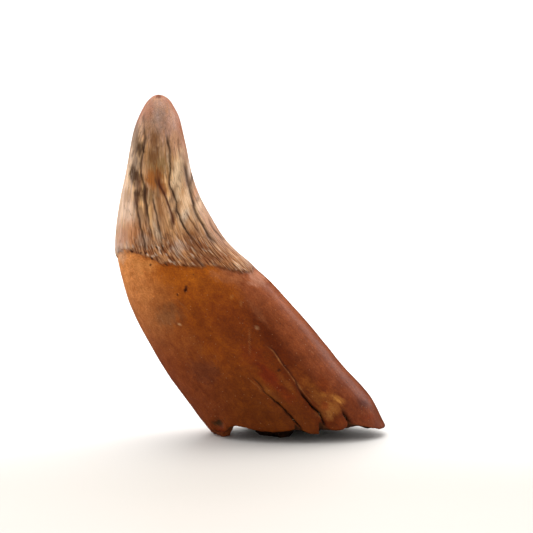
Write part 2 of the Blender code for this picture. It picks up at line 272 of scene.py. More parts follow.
@dataclass(eq=False)
class ToothForm:
    """The smooth form under the relief: oval sections on curves from the tip to the break."""

    sections: tuple[Section, ...] = SECTIONS
    root_top: int = 10
    squareness: float = 0.94
    egg: float = 0.08
    height_samples: int = 400

    def __post_init__(self) -> None:
        """Fits a curve to each of the sections' values."""
        steps = np.diff(np.array(self.sections), axis=0)
        convex = np.hypot(steps[:, 0], steps[:, 1])
        concave = np.hypot(steps[:, 2], steps[:, 3])
        self.knots = np.concatenate([[0], np.cumsum((convex + concave) / 2)])
        curves = {}
        for name in Section._fields:
            values = [getattr(section, name) for section in self.sections]
            curves[name] = Spline(self.knots, values, level_start=name.endswith("_z"))
        self.curves = curves

    def across(self, angle: Array) -> Array:
        """Returns how far across the section an angle lies: -1 convex edge, 1 concave edge."""
        return np.sign(np.cos(angle)) * np.abs(np.cos(angle)) ** self.squareness

    def skin(self, way: Array, angle: Array) -> Array:
        """Finds places on the smooth skin.

        Args:
            way: How far down the tooth each place lies.
            angle: Its angle round the tooth, in radians.

        Returns:
            The places, in an array of shape (..., 3).
        """
        at = {name: curve(way) for name, curve in self.curves.items()}
        across = self.across(angle)
        deep = np.sign(np.sin(angle)) * np.abs(np.sin(angle)) ** self.squareness
        half = (1 + across) / 2
        x = at["convex_x"] + (at["concave_x"] - at["convex_x"]) * half
        y = at["lean_y"] + at["half_depth"] * deep * (1 + self.egg * across)
        z = at["convex_z"] + (at["concave_z"] - at["convex_z"]) * half
        return np.stack([x, y, z], axis=-1)

    def way_of_height(self, height: Array) -> Array:
        """Finds how far down the leaning root heights lie.

        Args:
            height: Heights above the ground.

        Returns:
            The way down to each.
        """
        ways = np.linspace(self.knots[self.root_top], self.knots[-1], self.height_samples)
        heights = (self.curves["convex_z"](ways) + self.curves["concave_z"](ways)) / 2
        return np.interp(-height, -heights, ways)


@dataclass(frozen=True)
class FlatView:
    """An eye off each face, which places that face's marks in the plane Y = 0 as (x, z)."""

    eye: Place = (3.6, 109.6)
    eye_distance: float = 495.0
    wobble: float = 0.2
    wobble_size: float = 1.9
    fine_size: float = 0.55
    fine_share: float = 0.4
    seeds: tuple[float, float] = (41, 43)

    def seen(self, points: Array, face: Face) -> Array:
        """Returns where points on a face appear in the plane Y = 0, as (x, z)."""
        reach = self.eye_distance / (self.eye_distance - face.value * points[..., 1:2])
        return np.array(self.eye) + (points[..., [0, 2]] - np.array(self.eye)) * reach

    def wobbled(self, points: Array, face: Face) -> Array:
        """Finds where points appear, moved about a little, so that marks aren't drawn too straight.

        Args:
            points: Places on the skin.
            face: The face they are on.

        Returns:
            Each one's (x, z).
        """
        aside = []
        for seed in self.seeds:
            slow = lumps(points, self.wobble_size, seed)
            aside.append(slow + self.fine_share * lumps(points, self.fine_size, seed))
        return self.seen(points, face) + self.wobble * np.stack(aside, axis=-1)


# ---- Marks on the faces


class Tone(Enum):
    """Colours of marks, as displayed."""

    CRACK = (34, 14, 6)
    FISSURE = (52, 31, 17)
    RUSTY_FISSURE = (86, 38, 18)
    # Pale lips along the cracks: a painted highlight where their edges catch the light.
    HIGHLIT_LIP = (186, 128, 74)
    SCRATCH = (176, 122, 78)
    PIT = (62, 26, 12)
    HALO = (122, 82, 56)
    RIDGE = (236, 196, 156)


def on_face(marks: Iterable[Any], face: Face) -> list[Any]:
    """Returns those of the marks that lie on a face."""
    return [mark for mark in marks if mark.face is face]


def near_path(flat: Array, path: Sequence[Place]) -> tuple[Array, Array]:
    """Measures how near places are to a path of straight runs.

    Args:
        flat: The places, in an array of shape (..., 2).
        path: The path's corners.

    Returns:
        Each place's distance, and the nearest point's share of the way along.
    """
    ends = np.array(path, float)
    lengths = np.hypot(*np.diff(ends, axis=0).T)
    nearest, share = np.full(flat.shape[:-1], np.inf), np.zeros(flat.shape[:-1])
    for i, length in enumerate(lengths):
        run = ends[i + 1] - ends[i]
        along = np.clip(((flat - ends[i]) @ run) / length**2, 0, 1)
        away = np.linalg.norm(flat - ends[i] - along[..., None] * run, axis=-1)
        travelled = (lengths[:i].sum() + along * length) / lengths.sum()
        share = np.where(away < nearest, travelled, share)
        nearest = np.minimum(away, nearest)
    return nearest, share


@dataclass(frozen=True)
class Line:
    """A line pressed into a face and stained, through its places from start to end."""

    face: Face
    width: float
    depth: float
    places: tuple[Place, ...]
    tone: Tone = Tone.FISSURE
    strength: float = 0.85
    fade_in: float = 0.25
    fade_out: float = 0.2
    waver_share: float = 0.35

    def mask(self, flat: Array, waver: Any = 0.0, spread: float = 1.0) -> Array:
        """Measures how strongly the line shows.

        Args:
            flat: Places in the flat view.
            waver: Noise that makes the line wider and narrower along its way.
            spread: How many times its own width it is drawn.

        Returns:
            Values from 0 to 1.
        """
        away, share = near_path(flat, self.places)
        strength = ease(0, self.fade_in, share) if self.fade_in else 1.0
        if self.fade_out:
            strength = strength * ease(1, 1 - self.fade_out, share)
        return strength * bell(away / (1 + self.waver_share * waver), self.width * spread)


def ridge(*places: Place) -> Line:
    """Describes a pale raised fibre on the front of the crown, through its places."""
    return Line(Face.FRONT, places=places, width=0.16, depth=0.06, tone=Tone.RIDGE, strength=0.35)


def fissure(face: Face, width: float, depth: float, *places: Place, **options: Any) -> Line:
    """Describes a fissure in the enamel through its places, with a line's own options."""
    return Line(face, width, depth, places, **options)


def crack(face: Face, width: float, depth: float, *places: Place, **options: float) -> Line:
    """Describes a dark crack that ends in the break, where it doesn't fade out."""
    return Line(face, width, depth, places, Tone.CRACK, fade_out=0.0, **options)


@dataclass(frozen=True)
class Scar:
    """A round scoop out of a face."""

    x: float
    z: float
    radius: float
    depth: float
    face: Face = Face.FRONT
    largest_pit: float = 0.6

    @property
    def is_pit(self) -> bool:
        """Tells whether the scoop is a small dark pit."""
        return self.radius < self.largest_pit

    def cut(self, flat: Array) -> Array:
        """Returns how deep the scoop is at each place in the flat view."""
        away = np.hypot(flat[..., 0] - self.x, flat[..., 1] - self.z)
        return self.depth * np.clip(1 - (away / self.radius) ** 2, 0, 1)


@dataclass(frozen=True)
class Stain:
    """A soft patch of colour on a face: an oval, turned by degrees from upright."""

    face: Face
    x: float
    z: float
    half_width: float
    half_height: float
    colour: Colour
    strength: float
    turn: float = 0.0
    raggedness: float = 0.45
    soft_edge: Place = (1.5, 0.4)

    def mask(self, flat: Array, ragged: Array) -> Array:
        """Returns how strongly the stain shows.

        Args:
            flat: Places in the flat view.
            ragged: Noise that makes its outline uneven.

        Returns:
            Values from 0 to the stain's strength.
        """
        turn = math.radians(self.turn)
        x, z = flat[..., 0] - self.x, flat[..., 1] - self.z
        aside = x * math.cos(turn) + z * math.sin(turn)
        up = z * math.cos(turn) - x * math.sin(turn)
        away = np.hypot(aside / self.half_width, up / self.half_height)
        return self.strength * ease(*self.soft_edge, away + self.raggedness * ragged)


def stains_on(face: Face, *rows: tuple[Any, ...]) -> tuple[Stain, ...]:
    """Describes stains on a face, each row with a stain's values in order from x on."""
    return tuple(Stain(face, *row) for row in rows)


@dataclass(frozen=True)
class MarkStyle:
    """What makes the marks uneven, and how strongly halos and pits are painted."""

    outline: tuple[Layer, ...] = (Layer(1.4, 1.0, 91), Layer(0.6, 0.6, 93))
    outline_streak: Streak = Streak(0.35, 2.8, 99, 0.9)
    waver: Streak = Streak(0.8, 2.2, 95, 1.6)
    patches: Streak = Streak(1.6, 3.4, 97)
    patch_edge: Place = (-0.45, 0.25)
    pale_patches: Place = (0.4, 0.6)
    fissure_patches: Place = (0.84, 0.16)
    halo_share: float = 0.24
    halo_spread: float = 2.6
    pit_share: float = 0.85
    pit_edge: Place = (0.0, 0.6)


# ---- The crown


@dataclass(frozen=True)
class EnamelCrown:
    """The enamel: its ragged lower edge, long fissures, fine ribs and a keel on the back."""

    neck: AroundTable = AroundTable((
        (0, 39.6), (20, 40.2), (42, 41.6), (66, 41.4), (92, 42), (118, 43.4), (142, 44), (164, 42.8),
        (180, 42.2), (188, 42.5), (199, 43.4), (215, 44.5), (228, 44.4), (237, 43.5), (249, 42.6),
        (254, 41.7), (264, 41.7), (274, 41.2), (293, 41.2), (303, 41), (311, 40), (332, 39.1), (347, 39.7),
    ))
    neck_raggedness: float = 0.42
    neck_layers: tuple[Layer, ...] = (Layer(1.5, 1.0, 61), Layer(0.5, 0.9, 63))
    step: float = 0.24
    step_width: float = 0.32
    groove_depth: float = 0.1
    groove_width: float = 0.42
    groove_below: float = 0.2
    rib_height: float = 0.16
    rib_reach: float = 15.0
    rib_share: float = 0.65
    rib_sharpness: float = 3.2
    rib_streak: Streak = Streak(0.45, 3.6, 71)
    fine_rib_streak: Streak = Streak(0.28, 2.2, 73, 0.6)
    rib_sides: tuple[Place, Place] = ((-0.9, -0.55), (1.02, 0.93))
    rib_mask: Place = (0.15, 0.75)
    swell_height: float = 0.1
    swell_streak: Streak = Streak(2.4, 22, 75)
    swell_start: float = 8.0
    keel_angle: float = 38.0
    keel_width: float = 9.0
    keel_height: float = 0.45
    keel_start: float = 14.0
    fissures: tuple[Line, ...] = (
        fissure(
            Face.FRONT, 0.27, 0.14, (-24.8, 75), (-24.6, 70), (-25, 67.3), (-25.6, 63.5), (-25.5, 61.5),
            (-24.9, 59.8), (-24.8, 57.8), (-24.1, 52.4), (-23.9, 50.3), (-23.4, 47.9), (-23.2, 44),
            fade_in=0.12,
        ),
        fissure(
            Face.FRONT, 0.2, 0.1, (-26.6, 57.2), (-26.7, 55.7), (-26.4, 53.3), (-25.8, 49.5), (-24.7, 44.9),
            (-24.4, 43.4), fade_out=0.1,
        ),
        fissure(
            Face.FRONT, 0.21, 0.12, (-22.9, 56.6), (-22.8, 55.1), (-21.8, 50.9), (-21.1, 47), (-20.6, 42.8),
            fade_in=0.08, fade_out=0.1,
        ),
        fissure(
            Face.FRONT, 0.25, 0.13, (-21.5, 61.7), (-21.3, 59.3), (-20.7, 57.8), (-19.8, 56), (-18.6, 52.4),
            (-17.9, 49.4), tone=Tone.RUSTY_FISSURE, strength=0.95, fade_in=0.15, fade_out=0.1,
        ),
        fissure(
            Face.FRONT, 0.29, 0.18, (-19.7, 71.9), (-19.1, 68), (-18.9, 62.8), (-19.1, 59.8), (-18.1, 56.9),
            (-17.5, 55.1), (-17.4, 53), (-16.6, 51.1), (-15.1, 48.2), (-13.5, 46), (-12, 43.8), fade_in=0.1,
            strength=0.95,
        ),
        fissure(
            Face.FRONT, 0.35, 0.2, (-16.2, 65), (-15.4, 62.9), (-15, 60.5), (-14.1, 56.6), (-13.7, 55.3),
            (-13.4, 53.5), (-12.6, 51.8), (-10.7, 48.2), (-10.1, 47.1), (-8, 45.1), (-7.1, 43.9),
            fade_in=0.1, strength=0.95,
        ),
        fissure(
            Face.FRONT, 0.2, 0.1, (-15.9, 53.6), (-14.6, 51.7), (-13.9, 50.3), (-12.1, 47.3),
            tone=Tone.RUSTY_FISSURE,
        ),
        fissure(
            Face.FRONT, 0.19, 0.08, (-10.6, 52.1), (-9.7, 49.9), (-8.9, 48.5), (-7.2, 46.8), (-5.9, 45.4),
            strength=0.7,
        ),
        fissure(Face.FRONT, 0.16, 0.06, (-17.2, 71), (-16.8, 67), (-16.2, 65), strength=0.3),
        fissure(Face.FRONT, 0.16, 0.05, (-22.6, 66), (-22.2, 61), (-21.6, 58), strength=0.45),
        fissure(Face.BACK, 0.34, 0.18, (-24, 75), (-24.5, 64), (-25.5, 55), (-26.5, 44)),
        fissure(Face.BACK, 0.32, 0.16, (-20.5, 71), (-21, 60), (-20.5, 50), (-20, 43.5)),
        fissure(Face.BACK, 0.34, 0.18, (-18, 67), (-17, 58), (-15, 50), (-11.5, 43.5)),
        fissure(Face.BACK, 0.3, 0.14, (-15, 59), (-12.5, 52.5), (-8.5, 46.5), tone=Tone.RUSTY_FISSURE),
        fissure(Face.BACK, 0.28, 0.12, (-22.5, 58), (-23, 50), (-23, 45), strength=0.7),
        fissure(Face.BACK, 0.28, 0.12, (-28, 55), (-29, 49), (-29, 45), strength=0.7),
    )
    ridges: tuple[Line, ...] = (
        ridge((-13.3, 55.1), (-12.7, 52.9), (-11.6, 50.9), (-10.7, 49.2)),
        ridge((-4.1, 42.4), (-2.5, 41), (-1.2, 39.5)),
        ridge((-6.1, 44.8), (-4.7, 43), (-3.5, 41.8)),
        ridge((-2.9, 42.7), (-1.6, 41.2), (-0.4, 40)),
        ridge((-10.9, 46.5), (-9.7, 44.7)),
        ridge((-13.8, 44.2), (-12.7, 42.7)),
        ridge((-9.5, 41.6), (-8.3, 40)),
        ridge((-4.1, 40.9), (-2.8, 39.5)),
        ridge((-9, 45.3), (-7.1, 43.3)),
    )


# ---- The root


@dataclass(frozen=True)
class Root:
    """The root's skin: two shallow grooves, the cracks that open into the break, and scars."""

    lumps: Layer = Layer(9.0, 0.16, 1)
    lump_start: float = 6.0
    small_lumps: Layer = Layer(2.8, 0.05, 81)
    small_streak: Streak = Streak(0.7, 9, 83, 0.02)
    grooves: tuple[Line, ...] = (
        Line(Face.FRONT, 4.2, 0.7, ((-1.5, 35.5), (3.5, 25), (10.5, 14), (18.5, 4)), fade_out=0.0),
        Line(Face.BACK, 4.6, 0.8, ((-4, 35), (2, 24), (10, 12), (16, 3)), fade_out=0.0),
    )
    cracks: tuple[Line, ...] = (
        crack(Face.FRONT, 0.13, 0.35, (-0.5, 14), (2, 12), (3, 10), (6.5, 7), strength=0.55),
        crack(Face.FRONT, 0.19, 0.7, (3, 10), (6.5, 7), (9, 4.5), (12, 1), strength=0.95, fade_in=0.4),
        crack(Face.FRONT, 0.12, 0.2, (3, 22), (5.5, 20), (7.5, 17), (10.5, 13), (11.5, 10.5), strength=0.5),
        crack(
            Face.FRONT, 0.26, 0.9, (11.3, 10.8), (13, 8.3), (14, 7), (15, 6), (16.5, 4.5), (17.5, 2),
            strength=0.95, fade_in=0.25,
        ),
        crack(
            Face.FRONT, 0.36, 1.1, (21.6, 6.2), (22.5, 4.5), (23.2, 3.2), (24, 2), strength=0.95,
            fade_in=0.6,
        ),
        crack(Face.BACK, 0.22, 0.8, (2, 20), (6.5, 12), (9.5, 3), strength=0.9),
        crack(Face.BACK, 0.2, 0.7, (-9.5, 14), (-5.5, 8), (-2, 3), strength=0.9),
    )
    # Pale scratches, and pale lips along the cracks that are painted highlights.
    scratches_and_lit_lips: tuple[Line, ...] = (
        Line(
            Face.FRONT, 0.13, 0.02, ((2.8, 21.7), (5.3, 19.7), (7.3, 16.7), (10.3, 12.7), (11.2, 11)),
            Tone.HIGHLIT_LIP, 0.75,
        ),
        Line(Face.FRONT, 0.12, 0.02, ((-1, 13.4), (1.6, 11.4), (2.6, 9.4)), Tone.HIGHLIT_LIP, 0.35),
        Line(Face.FRONT, 0.11, 0.03, ((-0.3, 25.6), (-0.3, 18.4)), Tone.SCRATCH, 0.6),
        Line(Face.FRONT, 0.1, 0.02, ((-11.9, 22.6), (-11.9, 18)), Tone.SCRATCH, 0.25),
        Line(Face.FRONT, 0.14, 0.02, ((-17.6, 32.4), (-14.4, 29)), Tone.SCRATCH, 0.3),
        Line(Face.FRONT, 0.12, 0.02, ((15.7, 5), (17, 3)), Tone.HIGHLIT_LIP, 0.6),
        Line(
            Face.FRONT, 0.13, 0.02, ((10.6, 13), (11.6, 11.2), (12.6, 9.9), (13.9, 8.1), (14.9, 6.7)),
            Tone.HIGHLIT_LIP, 0.55,
        ),
        Line(Face.BACK, 0.12, 0.03, ((-14, 30), (-9, 22)), Tone.SCRATCH, 0.35),
    )
    scars: tuple[Scar, ...] = (
        Scar(-7.9, 2, 1.6, 0.7),
        Scar(1.5, 25.5, 0.7, 0.3),
        Scar(-15.4, 34.4, 0.4, 0.35),
        Scar(-17.2, 33.3, 0.3, 0.15),
        Scar(6.6, 15.2, 0.5, 0.15),
        Scar(-28, 43.6, 0.42, 0.3),
        Scar(-25.8, 43.3, 0.34, 0.22),
        Scar(-23.6, 40.4, 0.3, 0.2),
        Scar(-23.2, 42, 0.36, 0.25),
        Scar(-24.5, 43.2, 0.3, 0.2),
        Scar(-22, 44.6, 0.26, 0.15),
        Scar(-11, 6, 2, 0.6, Face.BACK),
        Scar(14, 14, 0.9, 0.3, Face.BACK),
        Scar(-17, 27, 0.5, 0.25, Face.BACK),
        Scar(-24.5, 42.5, 0.4, 0.25, Face.BACK),
        Scar(-18, 40.8, 0.34, 0.22, Face.BACK),
    )


# ---- The break


class Foot(NamedTuple):
    """A ridge of the fracture that comes down to the ground, from end to end in plan."""

    from_x: float
    from_y: float
    to_x: float
    to_y: float
    reach: float
    drop: float

    def away(self, plan: Array) -> Array:
        """Returns how far places in plan are from the ridge's line."""
        return near_path(plan[..., :2], ((self.from_x, self.from_y), (self.to_x, self.to_y)))[0]


@dataclass(frozen=True)
class BrokenEnd:
    """The ragged break across the root, with the open pulp canal in it."""

    edge: AroundTable = AroundTable((
        (0, 2.1), (10, 2.6), (22, 3.4), (34, 3.1), (44, 3.6), (54, 2.6), (64, 1), (72, 0.4), (80, 0.9),
        (86, 1.5), (94, 0.7), (103, 0.3), (111, 1.6), (118, 3.7), (127, 4.3), (136, 4), (145, 3.1),
        (154, 2.5), (163, 1.6), (172, 0.4), (180, 0), (188, 0.4), (194, 1.1), (201, 1.7), (208, 1.7),
        (216, 1.6), (221, 2.2), (225, 3.1), (232, 3.7), (238, 3.7), (243, 3.2), (250, 2.8), (257, 2.7),
        (263, 2.8), (268, 3.1), (271, 3.6), (272.9, 4.9), (274.6, 3.4), (277, 2.5), (281, 2.2),
        (283.5, 2.2), (285, 3.2), (287.3, 4.6), (289.3, 5.3), (291, 3.8), (293, 3.1), (296, 2.9),
        (301, 3.1), (305.5, 3.6), (308, 4.4), (309.6, 5.6), (311.5, 4.3), (318, 3.6), (328, 2.7),
        (338, 2.1), (350, 2),
    ))
    edge_raggedness: float = 0.16
    edge_oval: Place = (16.0, 12.0)
    edge_teeth: tuple[Layer, Layer] = (Layer(1.1, 1.0, 51), Layer(0.5, 0.6, 53))
    feet: tuple[Foot, ...] = (
        Foot(-8.6, 1.4, -6.5, -1.7, 3.6, 5.6),
        Foot(0.8, 6.6, 6.6, 8.4, 5.6, 5.0),
        Foot(6.6, 8.4, 15.6, 6.8, 4.4, 4.7),
        Foot(3.0, -0.8, 7.6, -2.8, 4.8, 5.4),
    )
    foot_waver: Layer = Layer(4.5, 0.42, 31)
    height: float = 2.9
    relief: tuple[Layer, ...] = (Layer(7.0, 0.8, 5), Layer(2.6, 0.5, 9), Layer(0.9, 0.16, 13))
    ledges: tuple[float, ...] = (0.42, 0.70)
    ledge_rise: float = 0.55
    ledge_width: float = 0.035
    ledge_waver: Layer = Layer(7.0, 0.09, 21)
    arch_x: float = -1.6
    arch_half_width: float = 2.4
    arch_rise: float = 1.2
    lip_share: float = 0.16
    mouth_share: float = 0.8
    mouth_x: float = 12.4
    mouth_y: float = 0.8
    mouth_height: float = 4.3
    canal_half_length: float = 3.8
    canal_half_width: float = 2.5
    canal_rise: float = 13.0
    canal_slant: float = -0.66
    canal_taper: float = 1.6
    rows: int = 26
    canal_rows: int = 12

    def edge_height(self, angle: Array) -> Array:
        """Finds the height of the broken outer edge, with its small teeth.

        Args:
            angle: Angles round the tooth.

        Returns:
            The height at each.
        """
        along, across = self.edge_oval
        around = np.stack([along * np.cos(angle), across * np.sin(angle), 0 * angle], axis=-1)
        teeth = sum(layer.at(around) for layer in self.edge_teeth)
        return self.edge.at(angle) + self.edge_raggedness * teeth

    def fracture_height(self, plan: Array, share: float) -> Array:
        """Shapes the broken face.

        Args:
            plan: Places in plan, with Z at 0.
            share: Their share of the way from the outer edge to the canal.

        Returns:
            The face's height above the ground there.
        """
        height = np.full(plan.shape[:-1], self.height)
        for layer in self.relief:
            height += layer.at(plan)
        shift = self.ledge_waver.at(plan)
        for ledge in self.ledges:
            line = ledge + shift
            step = ease(line - self.ledge_width, line + self.ledge_width, share)
            height += self.ledge_rise * step
        height += self.arch_rise * bell(plan[..., 0] - self.arch_x, self.arch_half_width)
        near = 1 + self.foot_waver.at(plan)
        for foot in self.feet:
            height -= foot.drop * ease(foot.reach, 0, foot.away(plan) * near)
        return height

    def canal_ring(self, angles: Array, rise: float) -> Array:
        """Shapes one ring of the canal's wall, an oval that narrows as it climbs.

        Args:
            angles: The angle of each of its points.
            rise: Its height above the mouth.

        Returns:
            The ring's points.
        """
        narrow = math.sqrt(max(0.0, 1 - (rise / self.canal_rise) ** self.canal_taper))
        x = self.mouth_x + self.canal_slant * rise
        x = x + self.canal_half_length * narrow * np.cos(angles)
        y = self.mouth_y + self.canal_half_width * narrow * np.sin(angles)
        return np.stack([x, y, np.full_like(x, self.mouth_height + rise)], axis=-1)

    def rings(self, edge: Array, angles: Array) -> tuple[list[Array], Array]:
        """Builds the broken face and the canal inside it.

        Args:
            edge: The skin's last ring.
            angles: The angle of each of its points.

        Returns:
            The rings in order, and the place where the canal closes.
        """
        mouth = self.canal_ring(angles, 0)
        made = []
        for row in range(1, self.rows):
            share = row / self.rows
            ring = edge + (mouth - edge) * share
            rough = self.fracture_height(ring * (1, 1, 0), share)
            to_mouth = ease(self.mouth_share, 1, share)
            rough = rough + (self.mouth_height - rough) * to_mouth
            from_edge = ease(0, self.lip_share, share)
            ring[:, 2] = edge[:, 2] + (rough - edge[:, 2]) * from_edge
            made.append(ring)
        made.append(mouth)
        for row in range(1, self.canal_rows):
            rise = self.canal_rise * math.sin(math.pi / 2 * row / self.canal_rows)
            made.append(self.canal_ring(angles, rise))
        return made, self.canal_ring(np.zeros(1), self.canal_rise)[0]


# ---- The colours of the skin


class NeckStain(NamedTuple):
    """A stain in patches along the enamel's lower edge."""

    colour: Colour
    share: float
    below: float
    width: float
    patches: Layer
    patch_edge: Place

    def mask(self, past_neck: Array, flow: Array) -> Array:
        """Returns how strongly it shows, from how far past the neck each point lies."""
        patchy = ease(*self.patch_edge, self.patches.at(flow))
        return bell(past_neck - self.below, self.width) * patchy


CROWN_STAINS = stains_on(
    Face.FRONT,
    (-22.4, 66.2, 2.3, 8.2, (160, 120, 84), 0.8, 4),
    (-22, 63.4, 2.2, 3.2, (160, 126, 78), 0.7, 4),
    (-26.6, 69, 1.2, 4.2, (126, 98, 70), 0.7, 4),
    (-25.7, 67.6, 1, 1.4, (86, 58, 30), 0.85),
    (-26.6, 64.3, 0.9, 1.8, (178, 164, 154), 0.45),
    (-27.1, 61.6, 1, 2.1, (74, 46, 16), 0.95, 6),
    (-25.7, 61.2, 0.7, 1, (92, 62, 32), 0.7),
    (-26.1, 59.2, 0.8, 1.4, (112, 78, 64), 0.75),
    (-26.4, 57.2, 0.8, 0.9, (66, 38, 16), 0.9),
    (-26.7, 55, 0.7, 1.5, (92, 52, 32), 0.8),
    (-25.6, 52, 0.9, 3, (150, 112, 88), 0.6),
    (-24.7, 74.8, 0.4, 1, (96, 58, 42), 0.7),
    (-22.4, 69.9, 0.9, 1.9, (134, 88, 52), 0.75),
    (-21.7, 67.8, 0.5, 0.5, (104, 60, 32), 0.8),
    (-22.6, 65.9, 1, 1.6, (128, 80, 42), 0.75),
    (-22.8, 60.6, 2.3, 2.6, (180, 108, 44), 0.9),
    (-21.6, 60.6, 0.5, 2.2, (112, 56, 20), 0.8),
    (-20.4, 58.2, 1.1, 1.4, (156, 86, 34), 0.75),
    (-23.4, 56.8, 0.9, 1.6, (146, 112, 72), 0.6),
    (-20.6, 53.2, 1, 3.2, (172, 112, 60), 0.6, 12),
    (-18.4, 67.9, 0.4, 0.5, (120, 84, 66), 0.7),
    (-16.9, 69.8, 0.5, 0.6, (134, 90, 66), 0.6),
    (-17.7, 69.4, 1.4, 2.8, (208, 156, 120), 0.75, -6),
    (-18.2, 74.3, 1.3, 2.2, (208, 166, 150), 0.5),
    (-21.5, 74.6, 1.5, 2.6, (168, 144, 132), 0.55),
    (-23.7, 77, 1.1, 2.4, (184, 118, 88), 0.55, -8),
    (-19.6, 79, 1.3, 0.9, (190, 130, 104), 0.5, -20),
    (-21.6, 78, 1.2, 1.4, (212, 172, 152), 0.4),
    (-21.4, 79.7, 0.5, 0.4, (104, 48, 28), 0.7),
    (-17.2, 60.8, 1.4, 5.8, (255, 222, 182), 0.9, -8),
    (-15.3, 54.6, 1.1, 4.4, (255, 216, 176), 0.9, -14),
    (-15.3, 52, 0.8, 1.6, (226, 208, 190), 0.6, -20),
    (-12.6, 54.2, 0.75, 4.2, (240, 204, 168), 0.6, -20),
    (-12.8, 55.8, 0.5, 0.5, (120, 80, 56), 0.6),
    (-28.7, 53.2, 1.5, 4, (246, 212, 188), 0.8, 4),
    (-27.9, 47.8, 2.2, 2.9, (212, 144, 96), 0.7),
    (-30.2, 47, 1.3, 3.4, (206, 152, 126), 0.6),
    (-22.1, 48.6, 0.9, 3, (216, 188, 160), 0.8, 10),
    (-19.9, 50, 1.3, 1.8, (206, 158, 112), 0.5),
    (-17, 44.4, 1.8, 1.7, (230, 208, 192), 0.4, 20),
    (-23, 45.6, 2.2, 0.9, (206, 164, 128), 0.4),
    (-14, 57.6, 0.6, 1.8, (120, 84, 58), 0.5, -12),
    (-28.7, 56.6, 1, 1.6, (176, 134, 104), 0.5),
    (-28.4, 66.4, 0.9, 2.4, (150, 116, 90), 0.4),
    (-26.4, 71.8, 0.7, 2.6, (128, 96, 72), 0.45),
    (-16.6, 70.6, 0.9, 1.8, (160, 116, 92), 0.4),
    # A pale strip near the concave edge: a painted highlight.
    (-14.4, 64, 0.5, 2.6, (242, 224, 208), 0.7, -6),
    (-12.8, 58.6, 0.5, 2.6, (218, 150, 104), 0.6, -16),
    (-14.2, 46.6, 1.8, 1.6, (134, 76, 40), 0.45, 30),
    (-12.2, 44.8, 2.2, 1.3, (122, 66, 36), 0.45, 36),
    (-10.4, 41.6, 3.4, 1, (128, 68, 34), 0.7, 8),
    (-24.7, 57.4, 0.7, 2.6, (104, 66, 34), 0.9, 2),
    (-18.2, 57, 0.7, 2.2, (138, 90, 56), 0.6, -14),
    (-18.3, 51.2, 0.7, 2.2, (98, 54, 30), 0.7, -16),
    (-26.5, 60.5, 0.8, 7.5, (88, 56, 34), 0.45, 2),
    (-16, 63.6, 0.9, 4.2, (142, 102, 74), 0.5, -8),
    (-14.1, 60.4, 0.35, 1.6, (70, 52, 36), 0.75, -12),
    (-24.5, 52.8, 0.5, 2.4, (112, 76, 50), 0.7, 4),
    (-5.6, 41.6, 2.6, 1.2, (176, 112, 64), 0.5, 38),
    (-8.6, 48.2, 0.9, 4.4, (198, 148, 120), 0.7, 36),
    (-25.2, 46.2, 1.3, 1.8, (180, 150, 130), 0.7),
    (-0.9, 40.9, 1.6, 1.2, (158, 116, 98), 0.5, 40),
    (-19.2, 46.6, 1.1, 1.6, (134, 90, 60), 0.4),
    (-30.7, 43.4, 0.8, 1.2, (128, 104, 98), 0.6),
) + stains_on(
    Face.BACK,
    (-23, 66, 2.2, 7, (164, 130, 102), 0.75, 3),
    (-22, 58, 1.8, 3, (166, 104, 52), 0.5),
    (-26.5, 62, 0.9, 2, (84, 62, 42), 0.85),
    (-17, 55, 0.8, 1.6, (96, 66, 44), 0.75, -14),
    (-28.2, 52, 1.6, 4, (234, 210, 190), 0.65),
    (-16, 62, 1.4, 4.6, (230, 190, 148), 0.7, -10),
    (-12, 46.5, 3.6, 2, (124, 74, 42), 0.6, 22),
    (-24, 46.5, 3, 2.2, (168, 112, 72), 0.6),
)


